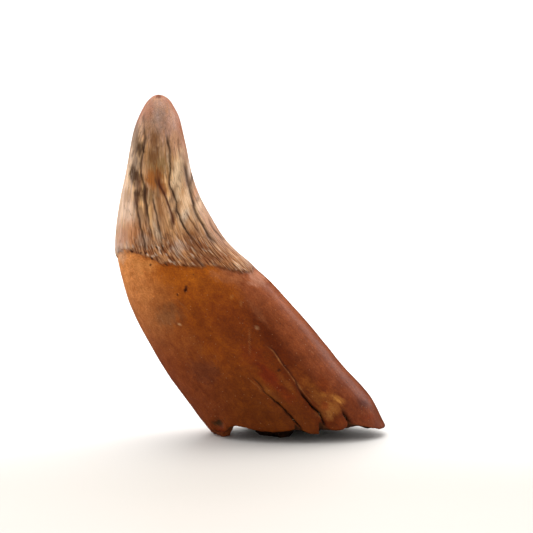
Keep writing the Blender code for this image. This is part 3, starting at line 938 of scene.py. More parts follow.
@dataclass(frozen=True)
class CrownColours:
    """The enamel's colours, as displayed, and where they lie.

    The washes are laid by height above the neck, by the place across or by streaks.
    """

    coarse: Streak = Streak(1.5, 12, 101)
    fine: Streak = Streak(0.4, 4, 103)
    tan: Colour = (168, 110, 66)
    ivory: Wash = Wash((223, 172, 125), 1, 12, sway=3)
    cream: Wash = Wash((246, 206, 158), 0.0, 0.45, 0.75)
    cream_above: Place = (6, 14)
    # A pale tone towards the convex edge and a rose tone towards the concave edge: partly the enamel's own
    # colour, partly a painted highlight and a painted sheen.
    pale: Wash = Wash((236, 206, 182), -0.45, -0.9, 0.8, 0.15)
    rose_sheen: Wash = Wash((198, 158, 134), 0.6, 0.92, 0.85, 0.1)
    tip: Wash = Wash((198, 152, 130), 24, 32, sway=2.5)
    vein: Colour = (116, 80, 56)
    vein_streak: Streak = Streak(1.7, 15, 105)
    vein_width: float = 0.06
    vein_share: float = 0.6
    vein_sides: Place = (0.9, 0.6)
    vein_above: Place = (35, 26)
    coarse_shade: float = 0.2
    fine_shade: float = 0.14
    warm_streak: Streak = Streak(1.0, 4.5, 125)
    warm_sway: Triple = (0.12, 0.0, -0.3)
    rib_valley: Colour = (112, 58, 26)
    rib_crest: Wash = Wash((200, 144, 98), -0.4, 0.6, sway=0.5)
    crest_streak: Streak = Streak(0.5, 1.7, 107)
    rust: Wash = Wash((134, 68, 28), 0.1, 0.5, 0.6)
    rust_streak: Streak = Streak(1.7, 3.5, 109)
    fleck: Wash = Wash((232, 210, 190), 0.22, 0.5, 0.65)
    fleck_streak: Streak = Streak(0.5, 1.2, 115)
    fibre_share: float = 0.9
    fibre_edge: Place = (0.25, 0.9)
    worn_tip: Colour = (184, 108, 68)
    worn_share: float = 0.85
    worn_sides: Place = (0.7, 0.98)
    worn_above: Place = (26, 33)
    worn_way: Place = (0.8, 4)
    worn_end: Place = (2.2, 0.6)
    worn_sway: float = 0.4
    neck_rust: NeckStain = NeckStain((112, 54, 24), 0.6, 0.0, 0.5, Layer(1.6, 1.0, 121), (-0.5, 0.3))
    neck_dirt: NeckStain = NeckStain((44, 20, 10), 0.9, 0.1, 0.34, Layer(0.9, 1.0, 123), (0.0, 0.3))
    dirt_thinning: tuple[Triple, ...] = ((0.6, -0.1, 0.5), (0.65, -0.35, -0.55))
    stains: tuple[Stain, ...] = CROWN_STAINS


ROOT_STAINS = stains_on(
    Face.FRONT,
    (-15.2, 37.6, 5.6, 2.4, (186, 100, 12), 0.8, -4),
    (-24.8, 40.4, 2.4, 1.6, (222, 150, 82), 0.5),
    (-30.4, 42.2, 1.1, 1.6, (226, 178, 142), 0.6),
    (-8.2, 35, 5, 2.6, (156, 78, 8), 0.75, -26),
    (-5.6, 37.8, 3.8, 1.7, (172, 102, 60), 0.7, -14),
    (-6, 29, 5, 4, (140, 62, 8), 0.6, -30),
    (-15.4, 34.4, 0.4, 0.8, (76, 22, 8), 0.95),
    (-19.6, 28.2, 3, 2.6, (128, 86, 54), 0.55),
    (-16.9, 26.2, 0.26, 0.26, (214, 168, 124), 0.8),
    (-4.4, 32.9, 0.8, 0.3, (184, 118, 56), 0.5, 50),
    (-2.3, 31.4, 0.3, 0.7, (190, 124, 66), 0.55),
    (1.6, 25.5, 0.5, 0.5, (178, 130, 90), 0.7),
    (-11.1, 15, 3.6, 3, (112, 58, 38), 0.5, -30),
    (-3, 26, 4, 5, (124, 54, 10), 0.5, -25),
    # A light rose patch near the concave edge: a painted highlight.
    (1.2, 37.6, 1.6, 2.4, (206, 150, 124), 0.55, 45),
    (1.8, 29, 0.9, 3, (152, 88, 52), 0.5, 35),
    (4.3, 13.6, 3, 1.6, (134, 42, 4), 0.75, -44),
    (8, 9.6, 2.6, 1.2, (130, 46, 6), 0.6, -44),
    (0.8, 18.5, 3.4, 2.4, (128, 44, 8), 0.5, -30),
    (4.6, 9.4, 2.8, 0.7, (152, 88, 30), 0.55, -42),
    (8.4, 12, 2.8, 0.8, (148, 82, 26), 0.5, -46),
    (11.2, 14, 3.4, 1.5, (140, 68, 16), 0.65, -44),
    (14.6, 10.8, 2.8, 1.6, (152, 84, 26), 0.6, -44),
    (18.6, 7, 3.2, 2.8, (162, 94, 34), 0.55, -40),
    (21.2, 8.2, 1.4, 0.8, (192, 124, 54), 0.6, -35),
    (20.5, 8.1, 1.3, 0.35, (218, 150, 72), 0.75, -35),
    (21.4, 9.1, 1.6, 0.32, (112, 44, 6), 0.7, -35),
    (17.2, 9.4, 0.6, 0.5, (178, 112, 42), 0.6),
    (19, 7.3, 0.9, 0.28, (184, 118, 50), 0.6, -20),
    (19, 6.3, 0.6, 0.24, (196, 134, 72), 0.55, -15),
    (17.3, 4.5, 0.45, 1, (156, 94, 34), 0.5),
    (18.8, 11.6, 1.6, 0.4, (178, 100, 52), 0.5, 50),
    (19.4, 6, 1.5, 1.6, (170, 106, 46), 0.5, -30),
    (18.8, 4.4, 0.7, 1.1, (178, 118, 58), 0.5),
    (15.8, 8.4, 1, 2.4, (146, 84, 30), 0.4, 30),
    (17.4, 11.6, 1.8, 1.3, (134, 56, 8), 0.65, -40),
    (17.8, 6.6, 1, 1, (150, 62, 14), 0.6),
    (21.6, 3, 1.2, 1, (146, 68, 20), 0.6),
    (15.9, 4.6, 1.2, 0.8, (132, 74, 30), 0.5),
    (26.6, 6.9, 1.4, 1, (88, 46, 38), 0.75, -40),
    (25.2, 9, 0.8, 1.8, (118, 64, 50), 0.5, 40),
    (28, 3.9, 1.6, 0.6, (142, 56, 14), 0.6),
    (14.5, 19.7, 0.14, 0.14, (226, 176, 140), 0.8),
    (11, 28.1, 0.15, 0.15, (232, 190, 160), 0.7),
    (-8.1, 2.2, 1, 0.8, (66, 52, 34), 0.95, -30),
    (-7.6, 0.6, 1.3, 0.8, (122, 44, 10), 0.8),
) + stains_on(
    Face.BACK,
    (-12, 36, 8, 3.4, (178, 98, 20), 0.7, 5),
    (-16, 27, 4.2, 4.6, (126, 80, 48), 0.5),
    (-4, 18, 5, 4, (130, 48, 10), 0.5, -30),
    (8, 9, 3, 2, (132, 58, 20), 0.5, -35),
    (18, 9, 3.6, 2.4, (176, 106, 40), 0.4, -30),
    (3, 27, 4, 3, (170, 100, 60), 0.4, -40),
    (-11, 6, 1.7, 1.3, (84, 58, 34), 0.8),
    (24, 6, 2, 1.2, (112, 56, 40), 0.5, -40),
)


@dataclass(frozen=True)
class RootColours:
    """The root's colours, as displayed, and where they lie.

    The washes are laid by distance below the neck or by the place across.
    """

    broad: Layer = Layer(6.0, 1.0, 111)
    speckle: Layer = Layer(1.1, 1.0, 113)
    below_sway: float = 1.5
    amber: Colour = (186, 98, 10)
    russet: Wash = Wash((147, 70, 3), 0, 14)
    umber: Wash = Wash((121, 57, 4), 18, 36)
    # Paler apricot tone towards the convex edge: partly the root's own colour, partly painted light; the tan
    # below makes it darker towards the bottom.
    apricot_edge_light: Wash = Wash((236, 156, 88), -0.2, -0.92, 0.9, 0.12)
    tan_low: Wash = Wash((144, 70, 30), 0, 28)
    # Pinkish tone towards the concave edge: partly the root's own colour, partly a painted sheen; darker
    # towards the bottom.
    rose_sheen: Wash = Wash((150, 78, 40), 0.4, 0.64, 0.95, 0.05)
    rose_sheen_sway: float = 0.08
    rose_sheen_low: Wash = Wash((128, 60, 28), 8, 36)
    # Painted shade: a darker orange-brown laid along the root's two shallow grooves.
    groove_shade: Colour = (106, 40, 0)
    groove_shade_share: float = 0.95
    groove_shade_sides: Place = (0.85, 0.5)
    mottle_share: float = 0.08
    fine_mottle: Layer = Layer(0.5, 0.07, 119)
    mottle_streaks: tuple[Streak, Streak] = (Streak(1.5, 12, 101, 0.06), Streak(0.4, 4, 117, 0.06))
    stains: tuple[Stain, ...] = ROOT_STAINS


@dataclass(frozen=True)
class BreakColours:
    """The broken face's own colours, as displayed, darkened inward by painted shade.

    The washes are laid by the share of the way in from the edge, but for the ring and the knob.
    """

    rim: Colour = (120, 70, 34)
    # Darker inward from the edge and darkest in the canal: painted shade over the break's own earthy colour.
    fresh_and_shaded: Wash = Wash((76, 44, 22), 0.02, 0.1)
    deep: Wash = Wash((40, 22, 12), 0.1, 0.9)
    ring: Wash = Wash((98, 60, 32), 0, 1, 0.3)
    ring_width: float = 0.05
    ring_waver: Layer = Layer(4.0, 0.05, 133)
    canal: Wash = Wash((26, 14, 8), 0.93, 1.12)
    knob: Wash = Wash((186, 96, 44), 3.6, 2.2, 0.8)
    grain: Layer = Layer(1.2, 0.22, 131)
    finish_edge: float = 0.06


# ---- The tooth, skin and all


@dataclass
class Skin:
    """A grid of points with the masks that its finishes read."""

    points: Array
    tint: Array
    masks: dict[str, Array]
    flow: Array


@dataclass
class SkinWork:
    """The outer skin while it is pressed and painted: where its points lie, and what they have."""

    way: Array
    smooth: Array
    flow: Array
    across: Array
    past_neck: Array
    enamel: Array

    def __post_init__(self) -> None:
        """Starts with no relief, no colour and empty masks."""
        self.relief = np.zeros(self.way.shape)
        self.tint = np.zeros(self.smooth.shape)
        self.crack = np.zeros(self.way.shape)
        self.fissure = np.zeros(self.way.shape)
        self.ribs = np.zeros(self.way.shape)

    def streaks(self, streak: Streak) -> Array:
        """Samples noise that is drawn out down the tooth, from about -1 to 1 times its share."""
        drawn = self.flow * (1 / streak.wide, 1 / streak.wide, 1 / streak.long)
        return streak.share * lumps(drawn, 1, streak.seed)

    def paint(self, colour: Colour, share: Array) -> None:
        """Lays a display colour over the skin by a share for each point."""
        self.tint = blend(self.tint, linear(colour), share)

    def wash(self, wash: Wash, value: Array, waver: Any = 0.0, where: Any = 1.0) -> None:
        """Lays a wash over the skin by a value for each point, only where it is asked."""
        self.paint(wash.colour, wash.mask(value, waver) * where)


@dataclass
class Tooth:
    """The whole tooth as one closed mesh, with its colours and masks on its points."""

    form: ToothForm = ToothForm()
    view: FlatView = FlatView()
    crown: EnamelCrown = EnamelCrown()
    root: Root = Root()
    end: BrokenEnd = BrokenEnd()
    crown_colours: CrownColours = CrownColours()
    root_colours: RootColours = RootColours()
    break_colours: BreakColours = BreakColours()
    style: MarkStyle = MarkStyle()
    columns: int = 440
    rows: int = 188
    way_samples: int = 600
    front_crowding: float = 0.37
    level_share: float = 0.75
    neck_crowding: float = 1.3
    neck_way: float = 46.0
    neck_reach: float = 6.0
    flow_radius: float = 13.0
    flow_gather: float = 5.0
    break_flow_start: float = 100.0
    break_flow_step: float = 0.5

    def angles(self) -> Array:
        """Returns each column's angle, closer together on the front face."""
        even = np.linspace(0, 2 * math.pi, self.columns, endpoint=False)
        return even - self.front_crowding * np.cos(even)

    def ways(self) -> Array:
        """Finds how far down the tooth each row of each column lies.

        Returns:
            An array of rows by columns, which ends at the broken edge.
        """
        end = self.form.way_of_height(self.end.edge_height(self.angles()))
        shortest = end.min()
        fine = np.linspace(0, shortest, self.way_samples)
        crowd = 1 + self.neck_crowding * bell(fine - self.neck_way, self.neck_reach)
        count = np.concatenate([[0], np.cumsum((crowd[1:] + crowd[:-1]) / 2)])
        share = np.linspace(0, 1, self.rows + 1)[1:]
        level = np.interp(share * count[-1], count, fine)
        bent = ease(self.level_share, 1, share)
        return level[:, None] + bent[:, None] * (end - shortest)[None, :]

    def flow(self, way: Array, angle: Array) -> Array:
        """Returns coordinates that run with the tooth: round it in X and Y, down it in Z."""
        radius = self.flow_radius * (1 - np.exp(-way / self.flow_gather))
        return np.stack([radius * np.cos(angle), radius * np.sin(angle), way], axis=-1)

    def start(self) -> SkinWork:
        """Lays out the outer skin, smooth and bare.

        Returns:
            The skin, row by row from the tip to the broken edge.
        """
        way = self.ways()
        angle = np.broadcast_to(self.angles(), way.shape)
        smooth = self.form.skin(way, angle)
        flow = self.flow(way, angle)
        crown = self.crown
        ragged = sum(layer.at(flow) for layer in crown.neck_layers)
        past_neck = crown.neck.at(angle) + crown.neck_raggedness * ragged - smooth[..., 2]
        enamel = ease(crown.step_width, -crown.step_width, past_neck)
        return SkinWork(way, smooth, flow, self.form.across(angle), past_neck, enamel)

    def dress_crown(self, work: SkinWork) -> None:
        """Gives the enamel its relief and its own colours, before stains and lines.

        Args:
            work: The skin.
        """
        crown, c = self.crown, self.crown_colours
        above, across, past_neck = -work.past_neck, work.across, work.past_neck
        ribs = crown.rib_share * (1 - crown.rib_sharpness * np.abs(work.streaks(crown.rib_streak)))
        ribs = ribs + work.streaks(crown.fine_rib_streak)
        convex, concave = crown.rib_sides
        band = ease(*convex, across) * ease(*concave, across)
        rib_share = ease(crown.rib_reach, 0, above) * work.enamel * band
        work.ribs = ease(*crown.rib_mask, rib_share)
        work.relief += crown.step * work.enamel
        work.relief -= crown.groove_depth * bell(past_neck - crown.groove_below, crown.groove_width)
        work.relief += crown.rib_height * rib_share * ribs
        swell = work.streaks(crown.swell_streak) * work.enamel
        work.relief += crown.swell_height * (swell * ease(0, crown.swell_start, work.way))
        keel = bell(np.degrees(self.angles()) % 360 - crown.keel_angle, crown.keel_width)
        keel = keel * work.enamel * ease(0, crown.keel_start, work.way)
        work.relief += crown.keel_height * keel

        coarse, fine = work.streaks(c.coarse), work.streaks(c.fine)
        work.paint(c.tan, np.ones(work.way.shape))
        work.wash(c.ivory, above, coarse)
        work.wash(c.cream, coarse, where=ease(*c.cream_above, above))
        # Partly own colour, partly a painted highlight along the convex edge and a painted sheen along the
        # concave edge.
        work.wash(c.pale, across, coarse)
        work.wash(c.rose_sheen, across, coarse)
        work.wash(c.tip, above, coarse)
        vein = bell(work.streaks(c.vein_streak), c.vein_width)
        vein = vein * ease(*c.vein_sides, np.abs(across))
        work.paint(c.vein, c.vein_share * vein * ease(*c.vein_above, above))
        work.tint *= (1 + c.coarse_shade * coarse + c.fine_shade * fine)[..., None]
        work.tint *= 1 + work.streaks(c.warm_streak)[..., None] * c.warm_sway
        fibre = c.rib_crest.over(linear(c.rib_valley), ribs, work.streaks(c.crest_streak))
        fibre = c.rust.over(fibre, work.streaks(c.rust_streak))
        fibre = c.fleck.over(fibre, work.streaks(c.fleck_streak))
        work.tint = blend(work.tint, fibre, c.fibre_share * ease(*c.fibre_edge, rib_share))
        worn = ease(*c.worn_sides, np.abs(across)) * ease(*c.worn_above, above)
        worn *= ease(*c.worn_way, work.way)
        worn = np.maximum(worn, ease(*c.worn_end, work.way + c.worn_sway * fine))
        work.paint(c.worn_tip, c.worn_share * worn)

    def dress_root(self, work: SkinWork) -> None:
        """Gives the root its relief and its own colours, before stains and lines.

        Args:
            work: The skin. Its enamel keeps what it has.
        """
        root, r, smooth = self.root, self.root_colours, work.smooth
        on_root = 1 - work.enamel
        work.relief += root.lumps.at(smooth) * ease(0, root.lump_start, work.way)
        work.relief += (root.small_lumps.at(smooth) + work.streaks(root.small_streak)) * on_root

        broad, speckle = r.broad.at(smooth), r.speckle.at(smooth)
        below = work.past_neck + r.below_sway * broad
        tone = r.russet.over(linear(r.amber), below)
        tone = r.umber.over(tone, below)
        # The convex edge's paler tone, partly painted light, darker towards the bottom.
        lit_margin = r.tan_low.over(linear(r.apricot_edge_light.colour), below)
        tone = blend(tone, lit_margin, r.apricot_edge_light.mask(work.across, broad))
        # The concave side's pinkish tone: partly its own colour, partly a painted sheen.
        rose_sheen = r.rose_sheen_low.over(linear(r.rose_sheen.colour), below)
        tone = blend(tone, rose_sheen, r.rose_sheen.mask(work.across + r.rose_sheen_sway * broad, speckle))
        # Paints shade into the root's shallow grooves, fading out towards the concave edge.
        for line in root.grooves:
            flat = self.view.seen(smooth, line.face)
            here = (smooth[..., 1] * line.face.value > 0) * ease(*r.groove_shade_sides, work.across)
            tone = blend(tone, linear(r.groove_shade), r.groove_shade_share * line.mask(flat) * here)
        mottle = r.mottle_share * broad + r.mottle_share * speckle + r.fine_mottle.at(smooth)
        mottle += sum(work.streaks(streak) for streak in r.mottle_streaks)
        work.tint = blend(work.tint, tone * (1 + mottle)[..., None], on_root)

    def dress_neck(self, work: SkinWork) -> None:
        """Stains the line where the enamel ends, and leaves dark dirt in its hollows.

        Args:
            work: The skin.
        """
        c = self.crown_colours
        work.paint(c.neck_rust.colour, c.neck_rust.share * c.neck_rust.mask(work.past_neck, work.flow))
        dirt = c.neck_dirt.mask(work.past_neck, work.flow)
        for share, start, full in c.dirt_thinning:
            dirt *= 1 - share * ease(start, full, work.across)
        work.paint(c.neck_dirt.colour, c.neck_dirt.share * dirt)

    def mark(self, work: SkinWork, face: Face) -> None:
        """Presses and paints one face's stains, lines and scars.

        Args:
            work: The skin.
            face: Which face.
        """
        middle = self.form.curves["lean_y"](work.way)
        here = ((work.smooth[..., 1] - middle) * face.value > 0).astype(float)
        flat = self.view.wobbled(work.smooth, face)
        on_crown, on_root = here * work.enamel, here * (1 - work.enamel)
        crown, root, style = self.crown, self.root, self.style
        ragged = sum(layer.at(work.flow) for layer in style.outline)
        ragged += work.streaks(style.outline_streak)
        waver = np.clip(work.streaks(style.waver), -1, 1)
        patchy = ease(*style.patch_edge, work.streaks(style.patches))

        for colours, where in ((self.crown_colours, on_crown), (self.root_colours, on_root)):
            for stain in on_face(colours.stains, face):
                work.paint(stain.colour, stain.mask(flat, ragged) * where)
        for line in on_face(root.grooves, face):
            work.relief -= line.depth * line.mask(flat) * here
        # Pale scratches, and the cracks' pale lips, which are painted highlights.
        least, more = style.pale_patches
        for line in on_face(root.scratches_and_lit_lips, face):
            share = line.mask(flat) * on_root
            work.relief -= line.depth * share
            work.paint(line.tone.value, line.strength * share * (least + more * patchy))
        least, more = style.fissure_patches
        for line in on_face(crown.fissures, face):
            share = line.mask(flat, waver) * on_crown
            halo = line.mask(flat, waver, style.halo_spread)
            work.relief -= line.depth * share
            work.paint(Tone.HALO.value, style.halo_share * halo * on_crown * patchy)
            work.paint(line.tone.value, line.strength * share * (least + more * patchy))
            work.fissure = np.maximum(work.fissure, share)
        for line in on_face(crown.ridges, face):
            share = line.mask(flat, waver) * on_crown
            work.relief += line.depth * share
            work.paint(line.tone.value, line.strength * share)
        for line in on_face(root.cracks, face):
            share = line.mask(flat, waver) * here
            work.relief -= line.depth * share
            work.paint(line.tone.value, line.strength * share)
            work.crack = np.maximum(work.crack, share)
        for scar in on_face(root.scars, face):
            cut = scar.cut(flat) * here
            work.relief -= cut
            if scar.is_pit:
                dark = ease(*style.pit_edge, cut / scar.depth)
                work.paint(Tone.PIT.value, style.pit_share * dark)

    def outer_skin(self) -> Skin:
        """Builds the crown's and the root's skin with its relief and colours.

        Returns:
            The skin, row by row from the tip to the broken edge.
        """
        work = self.start()
        self.dress_crown(work)
        self.dress_root(work)
        self.dress_neck(work)
        for face in Face:
            self.mark(work, face)
        points = work.smooth + self.outward(work.smooth) * work.relief[..., None]
        masks = {
            "enamel": work.enamel,
            "fissure": work.fissure,
            "crack": work.crack,
            "ribs": work.ribs,
            "broken": np.zeros(work.way.shape),
        }
        return Skin(points, np.clip(work.tint, 0, 1), masks, work.flow)

    def broken_skin(self, skin: Skin) -> tuple[Skin, Array]:
        """Adds the broken face and the canal below the outer skin.

        Args:
            skin: The outer skin.

        Returns:
            The whole skin, and the place where the canal closes.
        """
        angles = self.angles()
        rings, canal_top = self.end.rings(skin.points[-1], angles)
        inner = np.array(rings)
        b = self.break_colours
        inward = np.arange(1, len(rings) + 1) / self.end.rows
        depth = np.broadcast_to(inward[:, None], inner.shape[:-1])
        # Painted shade: the break darkens inward from its edge and into the canal.
        tint = b.fresh_and_shaded.over(linear(b.rim), depth)
        tint = b.deep.over(tint, depth)
        turn = (depth + b.ring_waver.at(inner)) / b.ring_width * 2 * math.pi
        tint = b.ring.over(tint, np.sin(turn))
        tint = b.canal.over(tint, depth)
        tint = b.knob.over(tint, self.end.feet[0].away(inner))
        tint = np.clip(tint * (1 + b.grain.at(inner))[..., None], 0, 1)
        way = depth * self.end.rows * self.break_flow_step + self.break_flow_start
        flow = self.flow(way, np.broadcast_to(angles, depth.shape))
        masks = {name: np.zeros(depth.shape) for name in skin.masks}
        masks["broken"] = ease(0, b.finish_edge, depth)
        whole = Skin(
            np.concatenate([skin.points, inner]),
            np.concatenate([skin.tint, tint]),
            {name: np.concatenate([skin.masks[name], masks[name]]) for name in masks},
            np.concatenate([skin.flow, flow]),
        )
        return whole, canal_top

    def outward(self, points: Array) -> Array:
        """Finds which way the skin faces.

        Args:
            points: A grid of points whose rows run down the tooth.

        Returns:
            The unit normal at each.
        """
        down = np.gradient(points, axis=0)
        around = np.roll(points, -1, axis=1) - np.roll(points, 1, axis=1)
        normal = np.cross(down, around)
        return normal / np.maximum(np.linalg.norm(normal, axis=-1, keepdims=True), TINY)

    def build(self) -> tuple[Object, Skin]:
        """Makes the tooth's mesh, with its colours and masks as attributes.

        Returns:
            The new object, linked to the scene, and the skin that it was made from.
        """
        skin, canal_top = self.broken_skin(self.outer_skin())
        skin.points[..., 2] = np.maximum(skin.points[..., 2], 0)
        tip = self.form.skin(np.zeros(1), np.zeros(1))[0] + (0, 0, self.crown.step)
        grid = RingMesh(skin.points * METRES, tip * METRES, canal_top * METRES)
        obj = grid.build("tooth_skin")
        grid.paint(obj.data, "tint", skin.tint, "FLOAT_COLOR")
        grid.paint(obj.data, "flow", skin.flow, "FLOAT_VECTOR")
        for name, mask in skin.masks.items():
            grid.paint(obj.data, name, mask, "FLOAT")
        return obj, skin


@dataclass
class RingMesh:
    """A closed mesh of rings joined by quads, with a fan to a pole at each end."""

    CHANNELS = {"FLOAT": "value", "FLOAT_VECTOR": "vector", "FLOAT_COLOR": "color"}

    rings: Array
    first_pole: Array
    last_pole: Array

    def build(self, name: str) -> Object:
        """Makes the mesh.

        Args:
            name: The object's name.

        Returns:
            The new object, linked to the scene and shaded smooth.
        """
        count, around = self.rings.shape[:2]
        points = np.concatenate([self.rings.reshape(-1, 3), [self.first_pole, self.last_pole]])
        first, last = count * around, count * around + 1
        column = np.arange(around)
        beside = (column + 1) % around
        row = np.arange(count - 1)[:, None] * around
        quads = np.stack([row + column, row + around + column, row + around + beside, row + beside], axis=-1)
        end = (count - 1) * around
        faces = quads.reshape(-1, 4).tolist()
        faces += [(first, int(c), int(b)) for c, b in zip(column, beside)]
        faces += [(last, end + int(b), end + int(c)) for c, b in zip(column, beside)]
        mesh = bpy.data.meshes.new(name)
        mesh.from_pydata(points.tolist(), [], faces)
        mesh.shade_smooth()
        return add_object(name, mesh)

    def paint(self, mesh: bpy.types.Mesh, name: str, values: Array, kind: str) -> None:
        """Writes one attribute on the mesh's points; a pole takes the mean of its ring.

        Args:
            mesh: The mesh that build made.
            name: The attribute's name.
            values: Its values on the rings.
            kind: Blender's data type for it.
        """
        poles = [values[0].mean(axis=0), values[-1].mean(axis=0)]
        width = values.shape[2:]
        rows = np.concatenate([values.reshape(-1, *width), np.array(poles).reshape(-1, *width)])
        attribute = mesh.attributes.new(name, kind, "POINT")
        if kind == "FLOAT_COLOR":
            rows = np.concatenate([rows, np.ones((len(rows), 1))], axis=1)
        attribute.data.foreach_set(self.CHANNELS[kind], rows.ravel())


# ---- Node trees


class Wiring:
    """Adds nodes to one tree and joins them.

    COLOURS and VALUES number a Mix node's two inputs and its output, for colours and for numbers.
    """

    STEP = (190, -230)
    NODES_IN_ROW = 8
    COLOURS = (6, 7, 2)
    VALUES = (2, 3, 0)

    def __init__(self, tree: Tree) -> None:
        """Starts on a material's, a group's or a Geometry Nodes tree."""
        self.tree = tree
        self.count = 0

    def node(self, kind: str, inputs: Mapping[Any, Any] | None = None, **settings: Any) -> Node:
        """Adds a node.

        Args:
            kind: Blender's name for the node type.
            inputs: A value or a socket to join for each input, by name or number.
            **settings: Properties to set on the node first.

        Returns:
            The new node.
        """
        node = self.tree.nodes.new(kind)
        row, column = divmod(self.count, self.NODES_IN_ROW)
        node.location = (self.STEP[0] * column, self.STEP[1] * row)
        self.count += 1
        for name, value in settings.items():
            setattr(node, name, value)
        self.feed(node, inputs or {})
        return node

    def feed(self, node: Node, inputs: Mapping[Any, Any]) -> None:
        """Fills a node's inputs.

        Args:
            node: The node.
            inputs: A value or a socket to join for each input, by name or number.
        """
        for name, value in inputs.items():
            if isinstance(value, Socket):
                self.tree.links.new(value, node.inputs[name])
            else:
                node.inputs[name].default_value = value

    def math(self, operation: str, *values: Any) -> Socket:
        """Adds a Math node and returns its result."""
        return self.node("ShaderNodeMath", dict(enumerate(values)), operation=operation).outputs[0]

    def times(self, value: Any, factor: Any) -> Socket:
        """Multiplies two numbers and returns the result."""
        return self.math("MULTIPLY", value, factor)

    def vectors(self, operation: str, *values: Any) -> Socket:
        """Adds a Vector Math node and returns its vector."""
        inputs = dict(enumerate(values))
        return self.node("ShaderNodeVectorMath", inputs, operation=operation).outputs["Vector"]

    def scaled(self, vector: Any, length: Any) -> Socket:
        """Multiplies a vector by a number and returns the result."""
        node = self.node("ShaderNodeVectorMath", {0: vector, "Scale": length}, operation="SCALE")
        return node.outputs["Vector"]

    def ease(self, value: Any, low: Any, high: Any, start: Any = 0.0, end: Any = 1.0) -> Socket:
        """Eases a value from start at low to end at high and returns the result."""
        inputs = {"Value": value, "From Min": low, "From Max": high, "To Min": start, "To Max": end}
        return self.node("ShaderNodeMapRange", inputs, interpolation_type="SMOOTHSTEP").outputs["Result"]

    def mix(self, share: Any, under: Any, over: Any, how: str = "MIX") -> Socket:
        """Mixes two colours and returns the result."""
        inputs = {"Factor": share, self.COLOURS[0]: under, self.COLOURS[1]: over}
        return self.node("ShaderNodeMix", inputs, data_type="RGBA", blend_type=how).outputs[self.COLOURS[2]]

    def tinted(self, colour: Any, factors: Rgba) -> Socket:
        """Multiplies a colour by another and returns the result."""
        return self.mix(1.0, colour, factors, how="MULTIPLY")

    def mix_values(self, share: Any, under: Any, over: Any) -> Socket:
        """Mixes two numbers and returns the result."""
        inputs = {"Factor": share, self.VALUES[0]: under, self.VALUES[1]: over}
        return self.node("ShaderNodeMix", inputs, data_type="FLOAT").outputs[self.VALUES[2]]

    def noise(self, vector: Any, scale: Any, detail: Any, output: str = "Fac") -> Socket:
        """Adds a Noise Texture and returns an output of it."""
        inputs = {"Vector": vector, "Scale": scale, "Detail": detail}
        return self.node("ShaderNodeTexNoise", inputs).outputs[output]

    def bump(self, height: Socket, strength: float, millimetres: float) -> Socket:
        """Adds a Bump node and returns its normal."""
        inputs = {"Height": height, "Strength": strength, "Distance": millimetres * METRES}
        return self.node("ShaderNodeBump", inputs).outputs["Normal"]

    def use(self, tree: Tree, **inputs: Any) -> Socket:
        """Places a group in the tree, feeds its inputs and returns its first output."""
        return self.node("ShaderNodeGroup", inputs, node_tree=tree).outputs[0]

    def attribute(self, name: str, output: str = "Fac") -> Socket:
        """Reads one of the mesh's attributes and returns an output of it."""
        return self.node("ShaderNodeAttribute", attribute_name=name).outputs[output]


def new_material(name: str) -> tuple[Material, Wiring, Node]:
    """Makes a material.

    Args:
        name: Its name.

    Returns:
        The material, its tree's wiring and its Principled node.
    """
    material = bpy.data.materials.new(name)
    material.use_nodes = True
    tree = material.node_tree
    return material, Wiring(tree), tree.nodes["Principled BSDF"]


class SocketKind(Enum):
    """The kinds of socket that the groups here have."""

    NUMBER = "NodeSocketFloat"
    VECTOR = "NodeSocketVector"
    COLOUR = "NodeSocketColor"
    GEOMETRY = "NodeSocketGeometry"
    MATERIAL = "NodeSocketMaterial"


class Group(Wiring):
    """A node group with named inputs and outputs, and the wiring of its tree."""

    def __init__(
        self,
        name: str,
        inputs: Mapping[str, SocketKind | float],
        outputs: Mapping[str, SocketKind],
        kind: str = "ShaderNodeTree",
    ) -> None:
        """Makes the group's tree and its sockets.

        Args:
            name: The group's name.
            inputs: Each input's kind, or the first value of a number.
            outputs: Each output's kind.
            kind: Blender's type of tree.
        """
        super().__init__(bpy.data.node_groups.new(name, kind))
        for title, given in inputs.items():
            if isinstance(given, SocketKind):
                self.add_socket(title, given, "INPUT")
            else:
                self.add_socket(title, SocketKind.NUMBER, "INPUT").default_value = given
        for title, socket_kind in outputs.items():
            self.add_socket(title, socket_kind, "OUTPUT")
        self.given = self.node("NodeGroupInput").outputs

    def add_socket(self, title: str, kind: SocketKind, side: str) -> bpy.types.NodeTreeInterfaceSocket:
        """Adds a socket on one side, INPUT or OUTPUT, and returns it."""
        return self.tree.interface.new_socket(title, in_out=side, socket_type=kind.value)

    def close(self, results: Mapping[str, Any]) -> Tree:
        """Joins a result to each of the group's outputs and returns the finished tree."""
        self.node("NodeGroupOutput", results)
        return self.tree

    def close_dressed(self, geometry: Socket) -> Tree:
        """Gives geometry the group's Material input, joins it to the output and returns the tree."""
        inputs = {"Geometry": geometry, "Material": self.given["Material"]}
        return self.close({"Geometry": self.node("GeometryNodeSetMaterial", inputs).outputs[0]})


